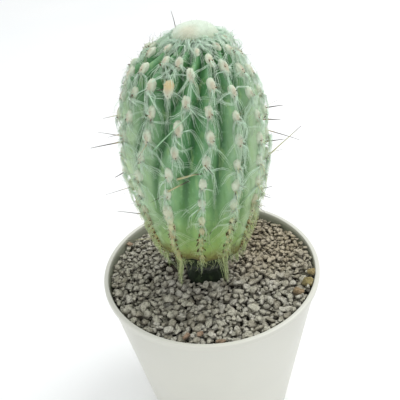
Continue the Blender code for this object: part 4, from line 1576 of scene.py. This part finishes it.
def build_camera(settings):
    lens = bpy.data.cameras.new("photo_camera")
    lens.lens = settings.lens
    lens.sensor_width = SENSOR_WIDTH_MM
    lens.clip_start = 0.01
    camera = add_object("photo_camera", lens)
    reach, rise = math.cos(settings.elevation), math.sin(settings.elevation)
    camera.location = (0, -settings.distance * reach, POT_HEIGHT + settings.distance * rise)
    pitch = settings.elevation - settings.tilt
    turned = Matrix.Rotation(settings.turn, 3, "Z") @ Matrix.Rotation(math.pi / 2 - pitch, 3, "X")
    camera.rotation_euler = (turned @ Matrix.Rotation(-settings.roll, 3, "Z")).to_euler()
    bpy.context.scene.camera = camera


def build_floor(settings):
    work = bmesh.new()
    bmesh.ops.create_grid(work, x_segments=8, y_segments=8, size=4)
    floor = from_bmesh("floor", work)
    floor.data.materials.append(floor_material(settings))


# Operators

def settings_of(context):
    return context.scene.potted_cactus


class CACTUS_OT_studio(bpy.types.Operator):
    """Make the floor, the soft lights and the camera"""

    bl_idname = "potted_cactus.studio"
    bl_label = "Studio"

    def execute(self, context):
        build_studio(settings_of(context).studio)
        return {"FINISHED"}


class CACTUS_OT_pot(bpy.types.Operator):
    """Turn the pot and cut its drainage holes"""

    bl_idname = "potted_cactus.pot"
    bl_label = "Pot"

    def execute(self, context):
        build_pot(settings_of(context).pot)
        return {"FINISHED"}


class CACTUS_OT_grit(bpy.types.Operator):
    """Fill the pot and drop the loose stones"""

    bl_idname = "potted_cactus.grit"
    bl_label = "Grit"

    def execute(self, context):
        build_grit(settings_of(context).grit)
        return {"FINISHED"}


class CACTUS_OT_stem(bpy.types.Operator):
    """Grow the ribbed stem"""

    bl_idname = "potted_cactus.stem"
    bl_label = "Stem"

    def execute(self, context):
        settings = settings_of(context)
        build_stem(settings.stem, StemForm(settings.stem))
        return {"FINISHED"}


class CACTUS_OT_areoles(bpy.types.Operator):
    """Put the felted areoles on the ribs"""

    bl_idname = "potted_cactus.areoles"
    bl_label = "Areoles"

    def execute(self, context):
        settings = settings_of(context)
        build_areoles(settings.wool, StemForm(settings.stem))
        return {"FINISHED"}


class CACTUS_OT_spines(bpy.types.Operator):
    """Grow the spines"""

    bl_idname = "potted_cactus.spines"
    bl_label = "Spines"

    def execute(self, context):
        settings = settings_of(context)
        form = StemForm(settings.stem)
        build_spines(settings.spines, settings.wool, form)
        build_stubs(settings.spines, form)
        return {"FINISHED"}


class CACTUS_OT_hairs(bpy.types.Operator):
    """Grow the beards, the long wisps, the dry hairs and the dry rib ends"""

    bl_idname = "potted_cactus.hairs"
    bl_label = "Hairs"

    def execute(self, context):
        settings = settings_of(context)
        form = StemForm(settings.stem)
        build_beards(settings.wool, form)
        build_dry_hairs(settings.wool, form)
        build_rib_ends(settings.wool, form)
        return {"FINISHED"}


class CACTUS_OT_crown(bpy.types.Operator):
    """Put the wool on the crown"""

    bl_idname = "potted_cactus.crown"
    bl_label = "Crown wool"

    def execute(self, context):
        settings = settings_of(context)
        build_crown(settings.wool, StemForm(settings.stem))
        return {"FINISHED"}


STEPS = (
    CACTUS_OT_studio, CACTUS_OT_pot, CACTUS_OT_grit, CACTUS_OT_stem, CACTUS_OT_areoles,
    CACTUS_OT_spines, CACTUS_OT_hairs, CACTUS_OT_crown,
)


class CACTUS_PT_panel(bpy.types.Panel):
    """Lists the steps and the settings of the potted cactus"""

    bl_label = "Potted Cactus"
    bl_idname = "CACTUS_PT_panel"
    bl_space_type = "VIEW_3D"
    bl_region_type = "UI"
    bl_category = "Cactus"

    def draw(self, context):
        for step in STEPS:
            self.layout.operator(step.bl_idname)
        settings = settings_of(context)
        for group in ("pot", "grit", "stem", "wool", "spines", "studio"):
            box = self.layout.box()
            box.label(text=group.capitalize())
            chosen = getattr(settings, group)
            for name in chosen.bl_rna.properties.keys():
                if name not in ("rna_type", "name"):
                    box.prop(chosen, name)


CLASSES = (
    PotSettings, GritSettings, StemSettings, WoolSettings, SpineSettings, StudioSettings,
    CactusSettings, *STEPS, CACTUS_PT_panel,
)


def register():
    for item in CLASSES:
        bpy.utils.register_class(item)
    bpy.types.Scene.potted_cactus = PointerProperty(type=CactusSettings)


def unregister():
    del bpy.types.Scene.potted_cactus
    for item in reversed(CLASSES):
        bpy.utils.unregister_class(item)


def main():
    register()
    for step in STEPS:
        operator = getattr(bpy.ops.potted_cactus, step.bl_idname.split(".")[1])
        operator()


if __name__ == "__main__":
    main()
